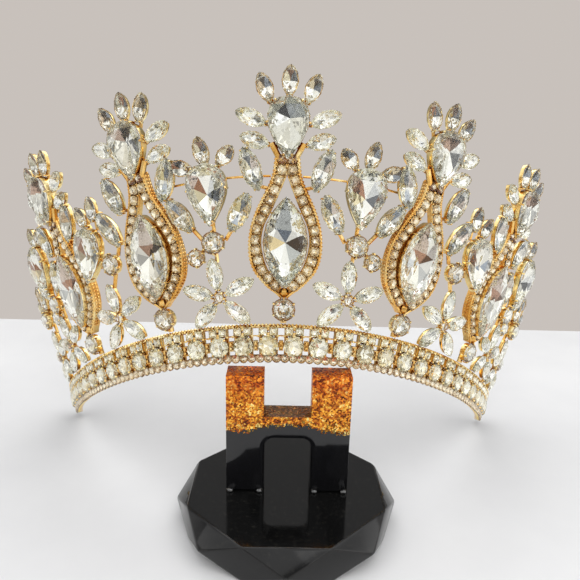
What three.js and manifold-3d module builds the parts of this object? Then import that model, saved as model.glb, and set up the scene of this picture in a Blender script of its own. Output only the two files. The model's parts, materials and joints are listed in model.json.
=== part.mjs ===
// Crystal crown on its display stand. Millimetres, +Z up.
// Origin: the middle of the stand's underside. The wearer's face side is -Y.
//
// The crown is an openwork wall that follows a leaning oval. A point of that wall is named by
//   along  distance from the middle of the front, measured on the band's lower edge, + to the right
//   up     height on the wall above the band's lower edge
//   out    distance in front of the wall's face
// Ornament tables use "across" in place of "along": the distance from the ornament's own centre line,
// true on the front ornament.

import * as THREE from 'three';
import { mergeVertices } from 'three/addons/utils/BufferGeometryUtils.js';
import Module from 'manifold-3d';

const wasm = await Module();
wasm.setup();

// ---------------------------------------------------------------- driving dimensions

const SEAT_GAP = 0.3;

const BASE = { thickness: 9.3, topRadius: 27, girdleRadius: 29.5, girdleHeight: 4.65, sides: 8 };
const UPRIGHT = {
  halfWidth: 15.8, depth: 6.5, legGapHalf: 6.0, archHeight: 16.2, archCorner: 2.5,
  sillHeight: 21.5, height: 32.5, prongGapLeft: -6.3, prongGapRight: 5.8,
};

// The band's lower edge is half an oval that leans back, with its ends on the table.
const OVAL = { halfWidth: 76.2, depth: 104.5, sag: -3.16, leanDegrees: 37, endDegrees: 70.1 };
const FRONT = { x: -2.3, y: 0.8, z: 44.34 };
const BAND = {
  height: 9.5, flareDegrees: 23.1, back: -1.3, face: 0,
  lowerRail: 1.5, barLow: 3.2, barHigh: 4.5, upperRail: 6.4, postWidth: 4.6,
  stones: 34, stonePitch: 6.2, stoneWidth: 5.0, stoneHeight: 3.85, stoneFace: 1.6,
};
const WALL_FLARE_DEGREES = 27.7;

const MIDDLE_ALONG = 0.4;
const ORNAMENT_PITCH = 28.9;
const END_SPRAY_PITCH = 3.04;

// Outlines of the cut stones, width across and length up.
const NAVETTE = { width: 11.2, length: 22.4, up: 29.9 };
const TOP_PEAR = { width: 9.8, length: 14.6, up: 57.4 };
const SIDE_PEAR = { width: 9.8, length: 15.1, up: 42.4 };
const FOOT_ROUND = { width: 5.8, length: 5.8, up: 13.3 };
const LINK_ROUND = { width: 5.8, length: 5.8, up: 30.6 };
const SMALL_ROUND = { width: 4.7, length: 4.7, across: 5.1, up: 27.3 };
const UPPER_LINK = { width: 4.7, fromAcross: 6.7, fromUp: 42.9, toAcross: 10.7, toUp: 52.8 };
const LOWER_LINK = { width: 4.7, fromAcross: 4.6, fromUp: 33.0, toAcross: 9.9, toUp: 41.8 };
const LEAF_WIDTH = 3.7;
const FLOWER = { up: 17.6, innerReach: 1.2, outerReach: 9.0, petals: 5, heart: 3.8 };

// Levels in front of the wall's face for each kind of setting.
const TALL_SETTING = { back: -1.0, seat: 1.6, stoneFoot: 1.9, girdle: 2.7, table: 4.4 };
const LOW_SETTING = { back: -0.6, seat: 0.9, stoneFoot: 1.2, girdle: 1.7, table: 2.8 };
const LEAF_LEVELS = { back: -0.8, table: 1.9 };
const LOOP_LEVELS = { back: -1.3, face: 1.5 };
const BAR_LEVELS = { back: -1.0, face: 0.1 };
const WIRE_LEVELS = { back: -1.9, face: -1.1 };
const SETTING_RIM = 0.6;
const SIDES = { large: 10, small: 8, leaf: 6 };

// The loop round a large navette: half widths of its outside and of its opening at each height.
const LOOP_ROWS = [
  { up: 16.6, outer: 1.2, inner: 0 },
  { up: 19.0, outer: 4.6, inner: 0.9 },
  { up: 22.5, outer: 7.3, inner: 3.9 },
  { up: 26.0, outer: 8.7, inner: 5.4 },
  { up: 30.0, outer: 9.0, inner: 6.1 },
  { up: 34.0, outer: 8.5, inner: 5.5 },
  { up: 38.0, outer: 7.2, inner: 3.6 },
  { up: 42.0, outer: 5.3, inner: 2.2 },
  { up: 46.0, outer: 3.6, inner: 1.0 },
  { up: 49.0, outer: 3.0, inner: 0 },
  { up: 52.0, outer: 2.7, inner: 0 },
];

// Leaves of a main ornament's top, from the end at the pear stone to the free tip (right half).
const TOP_LEAVES = [
  { fromAcross: 0.1, fromUp: 65.1, toAcross: 0.3, toUp: 72.9 },
  { fromAcross: 4.4, fromUp: 63.7, toAcross: 7.4, toUp: 71.3 },
  { fromAcross: 5.5, fromUp: 58.5, toAcross: 12.7, toUp: 62.1 },
  { fromAcross: 4.4, fromUp: 53.3, toAcross: 11.4, toUp: 55.7 },
];
const SIDE_LEAVES = [
  { fromAcross: 0.2, fromUp: 50.6, toAcross: 0.4, toUp: 58.3 },
  { fromAcross: 3.2, fromUp: 49.7, toAcross: 8.0, toUp: 53.3 },
];
// On the second side ornament the pear hangs lower, beside its round, with its tip turned outwards.
// Here "across" grows away from the front.
const LOW_PEAR = { across: 4.2, up: 36.0, turnDegrees: 20 };
const LOW_ROUND = { across: -3.4, up: 31.3 };
const LOW_LINK = { width: 4.7, fromAcross: -8.0, fromUp: 35.6, toAcross: -2.9, toUp: 45.4 };
const LOW_LEAVES = [
  { fromAcross: -0.2, fromUp: 44.8, toAcross: -1.2, toUp: 51.4 },
  { fromAcross: 3.4, fromUp: 44.4, toAcross: 6.0, toUp: 50.2 },
];
const SPRAY_LEAVES = [
  { fromAcross: 0, fromUp: 34.6, toAcross: 0, toUp: 42.8 },
  { fromAcross: 2.6, fromUp: 33.2, toAcross: 7.6, toUp: 39.0 },
];

const MATERIALS = {
  gold: new THREE.MeshStandardMaterial({ name: 'gold_plating', color: 0xd8a24a, roughness: 0.3, metalness: 1 }),
  crystal: new THREE.MeshStandardMaterial({ name: 'crystal', color: 0xe6e6e2, roughness: 0.08, metalness: 0 }),
  black: new THREE.MeshStandardMaterial({ name: 'black_resin', color: 0x0b0b0d, roughness: 0.1, metalness: 0 }),
  glitter: new THREE.MeshStandardMaterial({ name: 'glitter_resin', color: 0xc2741a, roughness: 0.3, metalness: 0.3 }),
};

// ---------------------------------------------------------------- the crown's wall

const radians = THREE.MathUtils.degToRad;
const lean = radians(OVAL.leanDegrees);
const AXIS = new THREE.Vector3(0, Math.sin(lean), Math.cos(lean));
const FORWARD = new THREE.Vector3(0, -Math.cos(lean), Math.sin(lean));
const SIDEWAYS = new THREE.Vector3(1, 0, 0);

function blend(...terms) {
  const sum = new THREE.Vector3();
  for (const [vector, amount] of terms) sum.addScaledVector(vector, amount);
  return sum;
}

function lowerEdge(angle) {
  const back = 1 - Math.cos(angle);
  const sag = 4 * OVAL.sag * back * (1 - back);
  const centre = new THREE.Vector3(FRONT.x, FRONT.y, FRONT.z);
  return blend([centre, 1], [SIDEWAYS, OVAL.halfWidth * Math.sin(angle)], [FORWARD, -OVAL.depth * back], [AXIS, sag]);
}

// Distances along the oval, in the plane of its lean, for a row of angles.
function measureOval() {
  const steps = 720;
  const end = radians(OVAL.endDegrees) * 1.15;
  const rows = [{ angle: 0, along: 0 }];
  for (let i = 1; i <= steps; i += 1) {
    const angle = (end * i) / steps;
    const middle = angle - end / steps / 2;
    const speed = Math.hypot(OVAL.halfWidth * Math.cos(middle), OVAL.depth * Math.sin(middle));
    rows.push({ angle, along: rows[i - 1].along + (speed * end) / steps });
  }
  return rows;
}

const OVAL_ROWS = measureOval();

function angleAt(along) {
  const distance = Math.abs(along);
  const index = Math.max(1, OVAL_ROWS.findIndex((row) => row.along >= distance));
  const [low, high] = [OVAL_ROWS[index - 1], OVAL_ROWS[index]];
  const share = (distance - low.along) / (high.along - low.along);
  return Math.sign(along) * (low.angle + share * (high.angle - low.angle));
}

const END_ALONG = OVAL_ROWS.find((row) => row.angle >= radians(OVAL.endDegrees)).along;

function wallPoint(along, up, out) {
  const angle = angleAt(along);
  const flat = [Math.sin(angle) / OVAL.halfWidth, Math.cos(angle) / OVAL.depth];
  const size = Math.hypot(...flat);
  const outward = blend([SIDEWAYS, flat[0] / size], [FORWARD, flat[1] / size]);
  const bandFlare = radians(BAND.flareDegrees);
  const wallFlare = radians(WALL_FLARE_DEGREES);
  const inBand = Math.min(up, BAND.height);
  const above = Math.max(up - BAND.height, 0);
  return blend(
    [lowerEdge(angle), 1],
    [outward, inBand * Math.sin(bandFlare) + above * Math.sin(wallFlare) + out * Math.cos(wallFlare)],
    [AXIS, inBand * Math.cos(bandFlare) + above * Math.cos(wallFlare) - out * Math.sin(wallFlare)],
  );
}

// How much wider the wall is at this height than along the band's lower edge.
function stretch(along, up) {
  const reach = 1.5;
  return wallPoint(along - reach, up, 0).distanceTo(wallPoint(along + reach, up, 0)) / (2 * reach);
}

// Every ornament opens upwards as the front one does, so its neighbours keep clear of it.
function ornamentPoint(centre, across, up, out) {
  return wallPoint(centre + across / stretch(0, up), up, out);
}

// The true sideways distance of a table's "across" on an ornament away from the front.
function trueAcross(centre, across, up) {
  return (across * stretch(centre, up)) / stretch(0, up);
}

// A flat piece keeps its shape and is set square to the wall at one point, turned in the wall's plane.
function settingMatrix(centre, across, up, turn) {
  const small = 0.5;
  const point = ornamentPoint(centre, across, up, 0);
  const right = ornamentPoint(centre, across + small, up, 0).sub(ornamentPoint(centre, across - small, up, 0));
  const upward = ornamentPoint(centre, across, up + small, 0).sub(ornamentPoint(centre, across, up - small, 0));
  const out = right.clone().cross(upward).normalize();
  upward.normalize();
  const level = upward.clone().cross(out);
  const matrix = new THREE.Matrix4().makeBasis(level, upward, out).setPosition(point);
  return matrix.multiply(new THREE.Matrix4().makeRotationZ(turn));
}

// ---------------------------------------------------------------- solids

function toSolid(geometry) {
  const bare = geometry.clone();
  bare.deleteAttribute('normal');
  bare.deleteAttribute('uv');
  const merged = mergeVertices(bare, 1e-4);
  return new wasm.Manifold(new wasm.Mesh({
    numProp: 3,
    vertProperties: new Float32Array(merged.attributes.position.array),
    triVerts: new Uint32Array(merged.index.array),
  }));
}

function toGeometry(solid) {
  const mesh = solid.getMesh();
  const geometry = new THREE.BufferGeometry();
  geometry.setAttribute('position', new THREE.BufferAttribute(mesh.vertProperties, 3));
  geometry.setIndex(new THREE.BufferAttribute(mesh.triVerts, 1));
  return geometry;
}

function joinAll(geometries) {
  return toGeometry(geometries.map(toSolid).reduce((whole, solid) => whole.add(solid)));
}

function moveVertices(geometry, rule) {
  const position = geometry.attributes.position;
  const vertex = new THREE.Vector3();
  for (let i = 0; i < position.count; i += 1) {
    vertex.fromBufferAttribute(position, i);
    const moved = rule(vertex.x, vertex.y, vertex.z);
    position.setXYZ(i, moved.x, moved.y, moved.z);
  }
  return geometry;
}

// Outlines of a stone for a unit ray (cos, sin): half width across and half length up.
const OUTLINES = {
  round: (cos, sin) => [cos, sin],
  navette: (cos, sin) => [cos * Math.abs(cos), sin],
  pear: (cos, sin) => [(cos * Math.sqrt((1 + sin) / 2)) / 0.77, sin],
};

// A turned profile of [reach, level] rows from axis to axis, drawn out to a stone's outline.
function turned(outline, width, length, profile, sides) {
  const points = profile.map(([reach, level]) => new THREE.Vector2(reach, level));
  const lathe = new THREE.LatheGeometry(points, sides);
  return moveVertices(lathe, (x, level, z) => {
    const reach = Math.hypot(x, z);
    if (reach < 1e-6) return new THREE.Vector3(0, 0, level);
    const [across, up] = OUTLINES[outline](x / reach, -z / reach);
    return new THREE.Vector3((across * reach * width) / 2, (up * reach * length) / 2, level);
  });
}

function gem(outline, size, levels, sides) {
  const profile = [
    [0, levels.stoneFoot], [0.82, levels.stoneFoot], [1, levels.girdle],
    [0.55, levels.table], [0, levels.table],
  ];
  return turned(outline, size.width, size.length, profile, sides);
}

// The closed cup behind a stone, a little wider than the stone.
function setting(outline, size, levels, sides) {
  const rim = 1 + (2 * SETTING_RIM) / size.width;
  const profile = [[0, levels.back], [rim, levels.back], [rim, levels.seat], [0, levels.seat]];
  return turned(outline, size.width, size.length, profile, sides);
}

// A small stone and its cup in one solid.
function filledCup(outline, size, sides) {
  const profile = [[0, LEAF_LEVELS.back], [1, LEAF_LEVELS.back], [0.55, LEAF_LEVELS.table], [0, LEAF_LEVELS.table]];
  return turned(outline, size.width, size.length, profile, sides);
}

function leafCup(length) {
  return filledCup('navette', { width: LEAF_WIDTH, length }, SIDES.leaf);
}

// Places a piece between two points of an ornament. build makes it upright for a given length.
function between(build, centre, row, side) {
  const rise = row.toUp - row.fromUp;
  const run = trueAcross(centre, row.toAcross, row.toUp) - trueAcross(centre, row.fromAcross, row.fromUp);
  const turn = -Math.atan2(side * run, rise);
  const across = (side * (row.fromAcross + row.toAcross)) / 2;
  const up = (row.fromUp + row.toUp) / 2;
  return build(Math.hypot(run, rise)).applyMatrix4(settingMatrix(centre, across, up, turn));
}

function rowLength(row) {
  return Math.hypot(row.toAcross - row.fromAcross, row.toUp - row.fromUp);
}

function bar(centre, row, side, levels, width) {
  const build = (length) => {
    const box = new THREE.BoxGeometry(width, length, levels.face - levels.back);
    return box.translate(0, 0, (levels.face + levels.back) / 2);
  };
  return between(build, centre, row, side);
}

// A leaf with the short stem that holds it to its neighbour.
function leaf(centre, row, side) {
  const length = rowLength(row);
  const stemReach = 2.4;
  const stem = {
    fromAcross: row.fromAcross - ((row.toAcross - row.fromAcross) / length) * stemReach,
    fromUp: row.fromUp - ((row.toUp - row.fromUp) / length) * stemReach,
    toAcross: row.fromAcross + ((row.toAcross - row.fromAcross) / length) * 1.5,
    toUp: row.fromUp + ((row.toUp - row.fromUp) / length) * 1.5,
  };
  return [between(leafCup, centre, row, side), bar(centre, stem, side, BAR_LEVELS, 1.1)];
}

function leafPairs(centre, rows) {
  const single = rows.filter((row) => Math.abs(row.fromAcross) < 1);
  const paired = rows.filter((row) => Math.abs(row.fromAcross) >= 1);
  return [
    ...single.flatMap((row) => leaf(centre, row, 1)),
    ...paired.flatMap((row) => [-1, 1].flatMap((side) => leaf(centre, row, side))),
  ];
}

function placedSetting(outline, size, levels, sides, centre, across, turn = 0) {
  return setting(outline, size, levels, sides).applyMatrix4(settingMatrix(centre, across, size.up, turn));
}

function placedGem(outline, size, levels, sides, centre, across, turn = 0) {
  return gem(outline, size, levels, sides).applyMatrix4(settingMatrix(centre, across, size.up, turn));
}

// ---------------------------------------------------------------- ornaments

function loopOutline(rows, key) {
  const right = rows.map((row) => new THREE.Vector2(row[key], row.up));
  const left = rows.map((row) => new THREE.Vector2(-row[key], row.up)).reverse();
  return [...right, ...left];
}

function loop(centre) {
  const open = LOOP_ROWS.filter((row) => row.inner > 0);
  const shape = new THREE.Shape(loopOutline(LOOP_ROWS, 'outer'));
  shape.holes.push(new THREE.Path(loopOutline(open, 'inner')));
  const depth = LOOP_LEVELS.face - LOOP_LEVELS.back;
  const flat = new THREE.ExtrudeGeometry(shape, { depth, bevelEnabled: false, curveSegments: 1 });
  flat.translate(0, 0, LOOP_LEVELS.back);
  return moveVertices(flat, (across, up, out) => ornamentPoint(centre, across, up, out));
}

function upperLinkCup(length) {
  return setting('navette', { width: UPPER_LINK.width, length }, LOW_SETTING, SIDES.small);
}

function upperLinkGem(length) {
  return gem('navette', { width: UPPER_LINK.width, length }, LOW_SETTING, SIDES.small);
}

function mainOrnament(centre) {
  const linkFoot = { fromAcross: 4.0, fromUp: 43.1, toAcross: 7.4, toUp: 43.9 };
  const foot = { fromAcross: 0, fromUp: BAND.height + 0.5, toAcross: 0, toUp: 12 };
  return joinAll([
    loop(centre),
    placedSetting('navette', NAVETTE, TALL_SETTING, SIDES.large, centre, 0),
    placedSetting('pear', TOP_PEAR, TALL_SETTING, SIDES.large, centre, 0),
    placedSetting('round', FOOT_ROUND, LOW_SETTING, SIDES.small, centre, 0),
    bar(centre, foot, 1, BAR_LEVELS, 2.2),
    ...leafPairs(centre, TOP_LEAVES),
    ...[-1, 1].flatMap((side) => [
      between(upperLinkCup, centre, UPPER_LINK, side),
      bar(centre, linkFoot, side, BAR_LEVELS, 1.2),
    ]),
  ]);
}

function flower(centre) {
  const parts = [];
  for (let i = 0; i < FLOWER.petals; i += 1) {
    const angle = Math.PI / 2 + (2 * Math.PI * i) / FLOWER.petals;
    const row = {
      fromAcross: FLOWER.innerReach * Math.cos(angle),
      fromUp: FLOWER.up + FLOWER.innerReach * Math.sin(angle),
      toAcross: FLOWER.outerReach * Math.cos(angle),
      toUp: FLOWER.up + FLOWER.outerReach * Math.sin(angle),
    };
    parts.push(between(leafCup, centre, row, 1));
  }
  const heart = filledCup('round', { width: FLOWER.heart, length: FLOWER.heart }, SIDES.leaf);
  parts.push(heart.applyMatrix4(settingMatrix(centre, 0, FLOWER.up, 0)));
  return parts;
}

function linkAndFlower(centre) {
  const stalk = { fromAcross: 0, fromUp: 25.6, toAcross: 0, toUp: 29.4 };
  return [
    ...flower(centre),
    placedSetting('round', LINK_ROUND, LOW_SETTING, SIDES.small, centre, 0),
    bar(centre, stalk, 1, BAR_LEVELS, 1.3),
  ];
}

// A solid little cup with its stone, for the small round beside the link round.
function smallRound(centre, side) {
  const cup = filledCup('round', SMALL_ROUND, SIDES.small);
  const tie = { fromAcross: 2.6, fromUp: 29.6, toAcross: 4.4, toUp: 28.0 };
  return [
    cup.applyMatrix4(settingMatrix(centre, side * SMALL_ROUND.across, SMALL_ROUND.up, 0)),
    bar(centre, tie, side, BAR_LEVELS, 1.2),
  ];
}

function solidLink(centre, side) {
  const cup = (length) => filledCup('navette', { width: LOWER_LINK.width, length }, SIDES.small);
  const stem = { fromAcross: 2.8, fromUp: 31.0, toAcross: 5.8, toUp: 34.8 };
  return [between(cup, centre, LOWER_LINK, side), bar(centre, stem, side, BAR_LEVELS, 1.2)];
}

// The wire runs behind the link stones and stops short of the next ornament's loop.
function wire(centre, side) {
  const up = 46.3;
  const loopHalf = 3.6;
  const reach = (ORNAMENT_PITCH / 2) * stretch(0, up) - loopHalf - SEAT_GAP - 0.2;
  const width = 0.8;
  const start = 4.2;
  const box = new THREE.BoxGeometry(reach - start, width, WIRE_LEVELS.face - WIRE_LEVELS.back, 3, 1, 1);
  box.translate((reach + start) / 2, up, (WIRE_LEVELS.face + WIRE_LEVELS.back) / 2);
  if (side < 0) box.rotateY(Math.PI).translate(0, 0, WIRE_LEVELS.face + WIRE_LEVELS.back);
  const peg = { fromAcross: 4.0, fromUp: up, toAcross: 5.4, toUp: up };
  const pegLevels = { back: WIRE_LEVELS.back, face: 0 };
  return [
    moveVertices(box, (across, height, out) => ornamentPoint(centre, across, height, out)),
    bar(centre, peg, side, pegLevels, width),
  ];
}

function sideOrnament(centre, outerSide, wireSides) {
  const pearFoot = { fromAcross: 0, fromUp: 32, toAcross: 0, toUp: 36 };
  return joinAll([
    ...linkAndFlower(centre),
    placedSetting('pear', SIDE_PEAR, TALL_SETTING, SIDES.large, centre, 0),
    bar(centre, pearFoot, 1, BAR_LEVELS, 1.3),
    ...leafPairs(centre, SIDE_LEAVES),
    ...smallRound(centre, outerSide),
    ...[-1, 1].flatMap((side) => solidLink(centre, side)),
    ...wireSides.flatMap((side) => wire(centre, side)),
  ]);
}

function lowPear(build, centre, side) {
  const turn = side * radians(LOW_PEAR.turnDegrees);
  return build('pear', { ...SIDE_PEAR, up: LOW_PEAR.up }, TALL_SETTING, SIDES.large, centre, side * LOW_PEAR.across, turn);
}

function lowRound(build, centre, side) {
  return build('round', { ...LINK_ROUND, up: LOW_ROUND.up }, LOW_SETTING, SIDES.small, centre, side * LOW_ROUND.across);
}

function lowSideOrnament(centre, side) {
  const cup = (length) => filledCup('navette', { width: LOW_LINK.width, length }, SIDES.small);
  const stalk = { fromAcross: 0, fromUp: 25.4, toAcross: -2.4, toUp: 29.2 };
  const pearArm = { fromAcross: -0.6, fromUp: 31.5, toAcross: 4.4, toUp: 32.4 };
  const linkStem = { fromAcross: -5.2, fromUp: 33.2, toAcross: -7.4, toUp: 36.8 };
  return joinAll([
    ...flower(centre),
    lowRound(placedSetting, centre, side),
    lowPear(placedSetting, centre, side),
    between(cup, centre, LOW_LINK, side),
    bar(centre, stalk, side, BAR_LEVELS, 1.3),
    bar(centre, pearArm, side, BAR_LEVELS, 1.3),
    bar(centre, linkStem, side, BAR_LEVELS, 1.2),
    ...LOW_LEAVES.flatMap((row) => leaf(centre, row, side)),
  ]);
}

function endSpray(centre) {
  return joinAll([...linkAndFlower(centre), ...leafPairs(centre, SPRAY_LEAVES)]);
}

// ---------------------------------------------------------------- band

// A flat lattice on the wall, made of the cells between its cuts that isSolid names.
function lattice(alongCuts, upCuts, levels, isSolid) {
  const columns = alongCuts.length - 1;
  const rows = upCuts.length - 1;
  const solidAt = (i, j) => i >= 0 && j >= 0 && i < columns && j < rows && isSolid(i, j);
  const points = [];
  for (const out of [levels.back, levels.face]) {
    for (const up of upCuts) for (const along of alongCuts) points.push(wallPoint(along, up, out));
  }
  const corner = (i, j, front) => front * (rows + 1) * (columns + 1) + j * (columns + 1) + i;
  const index = [];
  const quad = (a, b, c, d) => index.push(a, b, c, a, c, d);
  for (let i = 0; i < columns; i += 1) {
    for (let j = 0; j < rows; j += 1) {
      if (!solidAt(i, j)) continue;
      const [n, e] = [j + 1, i + 1];
      quad(corner(i, j, 1), corner(e, j, 1), corner(e, n, 1), corner(i, n, 1));
      quad(corner(i, j, 0), corner(i, n, 0), corner(e, n, 0), corner(e, j, 0));
      if (!solidAt(i - 1, j)) quad(corner(i, j, 0), corner(i, j, 1), corner(i, n, 1), corner(i, n, 0));
      if (!solidAt(i + 1, j)) quad(corner(e, j, 0), corner(e, n, 0), corner(e, n, 1), corner(e, j, 1));
      if (!solidAt(i, j - 1)) quad(corner(i, j, 0), corner(e, j, 0), corner(e, j, 1), corner(i, j, 1));
      if (!solidAt(i, j + 1)) quad(corner(i, n, 0), corner(i, n, 1), corner(e, n, 1), corner(e, n, 0));
    }
  }
  const geometry = new THREE.BufferGeometry().setFromPoints(points);
  return geometry.setIndex(index);
}

function band() {
  const first = -((BAND.stones - 1) / 2) * BAND.stonePitch;
  const alongCuts = [-END_ALONG];
  const stoneAt = [];
  for (let i = 0; i < BAND.stones; i += 1) {
    const along = first + i * BAND.stonePitch;
    stoneAt.push(along);
    alongCuts.push(along - BAND.postWidth / 2, along + BAND.postWidth / 2);
  }
  alongCuts.push(END_ALONG);
  const upCuts = [0, BAND.lowerRail, BAND.barLow, BAND.barHigh, BAND.upperRail, BAND.height];
  const lastColumn = alongCuts.length - 2;
  const isPost = (column) => column % 2 === 1 || column === 0 || column === lastColumn;
  const isRail = (row) => row % 2 === 0;
  const strip = lattice(alongCuts, upCuts, BAND, (column, row) => isPost(column) || isRail(row));
  const profile = [[0, -0.4], [1, -0.4], [0.62, BAND.stoneFace], [0, BAND.stoneFace]];
  const stones = stoneAt.map((along) => {
    const stone = turned('round', BAND.stoneWidth, BAND.stoneWidth, profile, SIDES.leaf);
    return stone.applyMatrix4(settingMatrix(along, 0, BAND.stoneHeight, 0));
  });
  return joinAll([strip, ...stones]);
}

// ---------------------------------------------------------------- stand

function octagonRing(radius, z, halfTurn) {
  const ring = [];
  for (let i = 0; i < BASE.sides; i += 1) {
    const angle = ((i + (halfTurn ? 0.5 : 0)) * 2 * Math.PI) / BASE.sides;
    ring.push(new THREE.Vector3(radius * Math.cos(angle), radius * Math.sin(angle), z));
  }
  return ring;
}

// The base is cut like a gem: two octagons with a wider one between them, turned by half a side.
function base() {
  const rings = [
    octagonRing(BASE.topRadius, 0, true),
    octagonRing(BASE.girdleRadius, BASE.girdleHeight, false),
    octagonRing(BASE.topRadius, BASE.thickness, true),
  ];
  const points = rings.flat();
  const faces = [];
  const n = BASE.sides;
  for (let i = 0; i < n; i += 1) {
    const next = (i + 1) % n;
    faces.push([i, n + next, n + i], [i, next, n + next], [2 * n + i, n + i, n + next]);
    faces.push([2 * n + i, n + next, 2 * n + next]);
    if (i > 0 && i < n - 1) faces.push([0, i + 1, i], [2 * n, 2 * n + i, 2 * n + i + 1]);
  }
  return new THREE.BufferGeometry().setFromPoints(points).setIndex(faces.flat());
}

function upright() {
  const { halfWidth, legGapHalf, archHeight, archCorner, sillHeight, height } = UPRIGHT;
  const outline = new THREE.Shape();
  outline.moveTo(-halfWidth, SEAT_GAP);
  outline.lineTo(-legGapHalf, SEAT_GAP);
  outline.lineTo(-legGapHalf, archHeight - archCorner);
  outline.absarc(-legGapHalf + archCorner, archHeight - archCorner, archCorner, Math.PI, Math.PI / 2, true);
  outline.absarc(legGapHalf - archCorner, archHeight - archCorner, archCorner, Math.PI / 2, 0, true);
  outline.lineTo(legGapHalf, SEAT_GAP);
  outline.lineTo(halfWidth, SEAT_GAP);
  outline.lineTo(halfWidth, height);
  outline.lineTo(UPRIGHT.prongGapRight, height);
  outline.lineTo(UPRIGHT.prongGapRight, sillHeight);
  outline.lineTo(UPRIGHT.prongGapLeft, sillHeight);
  outline.lineTo(UPRIGHT.prongGapLeft, height);
  outline.lineTo(-halfWidth, height);
  outline.closePath();
  const plate = new THREE.ExtrudeGeometry(outline, { depth: UPRIGHT.depth, bevelEnabled: false, curveSegments: 4 });
  plate.rotateX(Math.PI / 2).translate(0, UPRIGHT.depth / 2, BASE.thickness);
  return plate;
}

// ---------------------------------------------------------------- assembly

const crownOnStand = new THREE.Group();

function addPiece(name, geometry, material) {
  const mesh = new THREE.Mesh(geometry, material);
  mesh.name = name;
  crownOnStand.add(mesh);
}

function sideName(number) {
  if (number === 0) return 'centre';
  return `${number < 0 ? 'left' : 'right'}_${Math.abs(number)}`;
}

addPiece('stand_base', base(), MATERIALS.black);
addPiece('stand_upright', upright(), MATERIALS.glitter);
addPiece('band', band(), MATERIALS.gold);

for (const number of [-2, -1, 0, 1, 2]) {
  const centre = MIDDLE_ALONG + number * ORNAMENT_PITCH;
  const place = sideName(number);
  addPiece(`main_ornament_${place}`, mainOrnament(centre), MATERIALS.gold);
  addPiece(`navette_${place}`, placedGem('navette', NAVETTE, TALL_SETTING, SIDES.large, centre, 0), MATERIALS.crystal);
  addPiece(`top_pear_${place}`, placedGem('pear', TOP_PEAR, TALL_SETTING, SIDES.large, centre, 0), MATERIALS.crystal);
  addPiece(`foot_round_${place}`, placedGem('round', FOOT_ROUND, LOW_SETTING, SIDES.small, centre, 0), MATERIALS.crystal);
  for (const [word, side] of [['a', -1], ['b', 1]]) {
    const link = between(upperLinkGem, centre, UPPER_LINK, side);
    addPiece(`link_navette_${place}_${word}`, link, MATERIALS.crystal);
  }
}

for (const side of [-1, 1]) {
  for (const number of [1, 2, 3]) {
    const centre = MIDDLE_ALONG + side * (number - 0.5) * ORNAMENT_PITCH;
    const place = sideName(side * number);
    if (number === 2) {
      addPiece(`side_ornament_${place}`, lowSideOrnament(centre, side), MATERIALS.gold);
      addPiece(`side_pear_${place}`, lowPear(placedGem, centre, side), MATERIALS.crystal);
      addPiece(`link_round_${place}`, lowRound(placedGem, centre, side), MATERIALS.crystal);
      continue;
    }
    const wireSides = number === 3 ? [-side] : [-1, 1];
    addPiece(`side_ornament_${place}`, sideOrnament(centre, side, wireSides), MATERIALS.gold);
    addPiece(`side_pear_${place}`, placedGem('pear', SIDE_PEAR, TALL_SETTING, SIDES.large, centre, 0), MATERIALS.crystal);
    addPiece(`link_round_${place}`, placedGem('round', LINK_ROUND, LOW_SETTING, SIDES.small, centre, 0), MATERIALS.crystal);
  }
  const end = MIDDLE_ALONG + side * END_SPRAY_PITCH * ORNAMENT_PITCH;
  const word = side < 0 ? 'left' : 'right';
  addPiece(`end_spray_${word}`, endSpray(end), MATERIALS.gold);
  addPiece(`end_round_${word}`, placedGem('round', LINK_ROUND, LOW_SETTING, 12, end, 0), MATERIALS.crystal);
}

export default crownOnStand;
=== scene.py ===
"""Crystal crown on its display stand: the visible pieces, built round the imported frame.

Sizes are in millimetres. A point of the crown's wall is named by
  along  distance from the middle of the front, measured on the band's lower edge, + to the right
  up     height on the wall above the band's lower edge
  out    distance in front of the wall's face
and on one ornament "across" is the distance from that ornament's own centre line. A row of four numbers
is a leaf, a link or a wire between two points of an ornament: across, up, across, up.
"""

import json
import math

import bmesh
import bpy
import numpy as np
from mathutils import Matrix, Vector

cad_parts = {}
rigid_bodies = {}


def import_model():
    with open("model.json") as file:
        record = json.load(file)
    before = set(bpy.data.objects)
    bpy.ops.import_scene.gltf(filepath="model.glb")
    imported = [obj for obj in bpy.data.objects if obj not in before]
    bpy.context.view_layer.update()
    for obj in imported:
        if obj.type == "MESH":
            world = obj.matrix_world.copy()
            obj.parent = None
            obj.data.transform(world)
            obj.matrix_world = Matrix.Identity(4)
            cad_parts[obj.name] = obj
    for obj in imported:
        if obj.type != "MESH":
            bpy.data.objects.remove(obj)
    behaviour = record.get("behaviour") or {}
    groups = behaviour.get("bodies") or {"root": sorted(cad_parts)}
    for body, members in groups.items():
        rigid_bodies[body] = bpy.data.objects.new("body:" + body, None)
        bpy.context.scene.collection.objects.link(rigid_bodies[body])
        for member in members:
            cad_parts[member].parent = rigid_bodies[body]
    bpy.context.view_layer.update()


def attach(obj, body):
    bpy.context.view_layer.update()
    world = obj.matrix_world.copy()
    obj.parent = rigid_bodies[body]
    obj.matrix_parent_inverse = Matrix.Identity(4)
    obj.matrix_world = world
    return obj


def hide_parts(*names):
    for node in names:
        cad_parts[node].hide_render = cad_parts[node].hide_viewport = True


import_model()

MM = 0.001
BODY = "root"
SIDES = (-1, 1)

# ---------------------------------------------------------------- the maker's sizes

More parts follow.
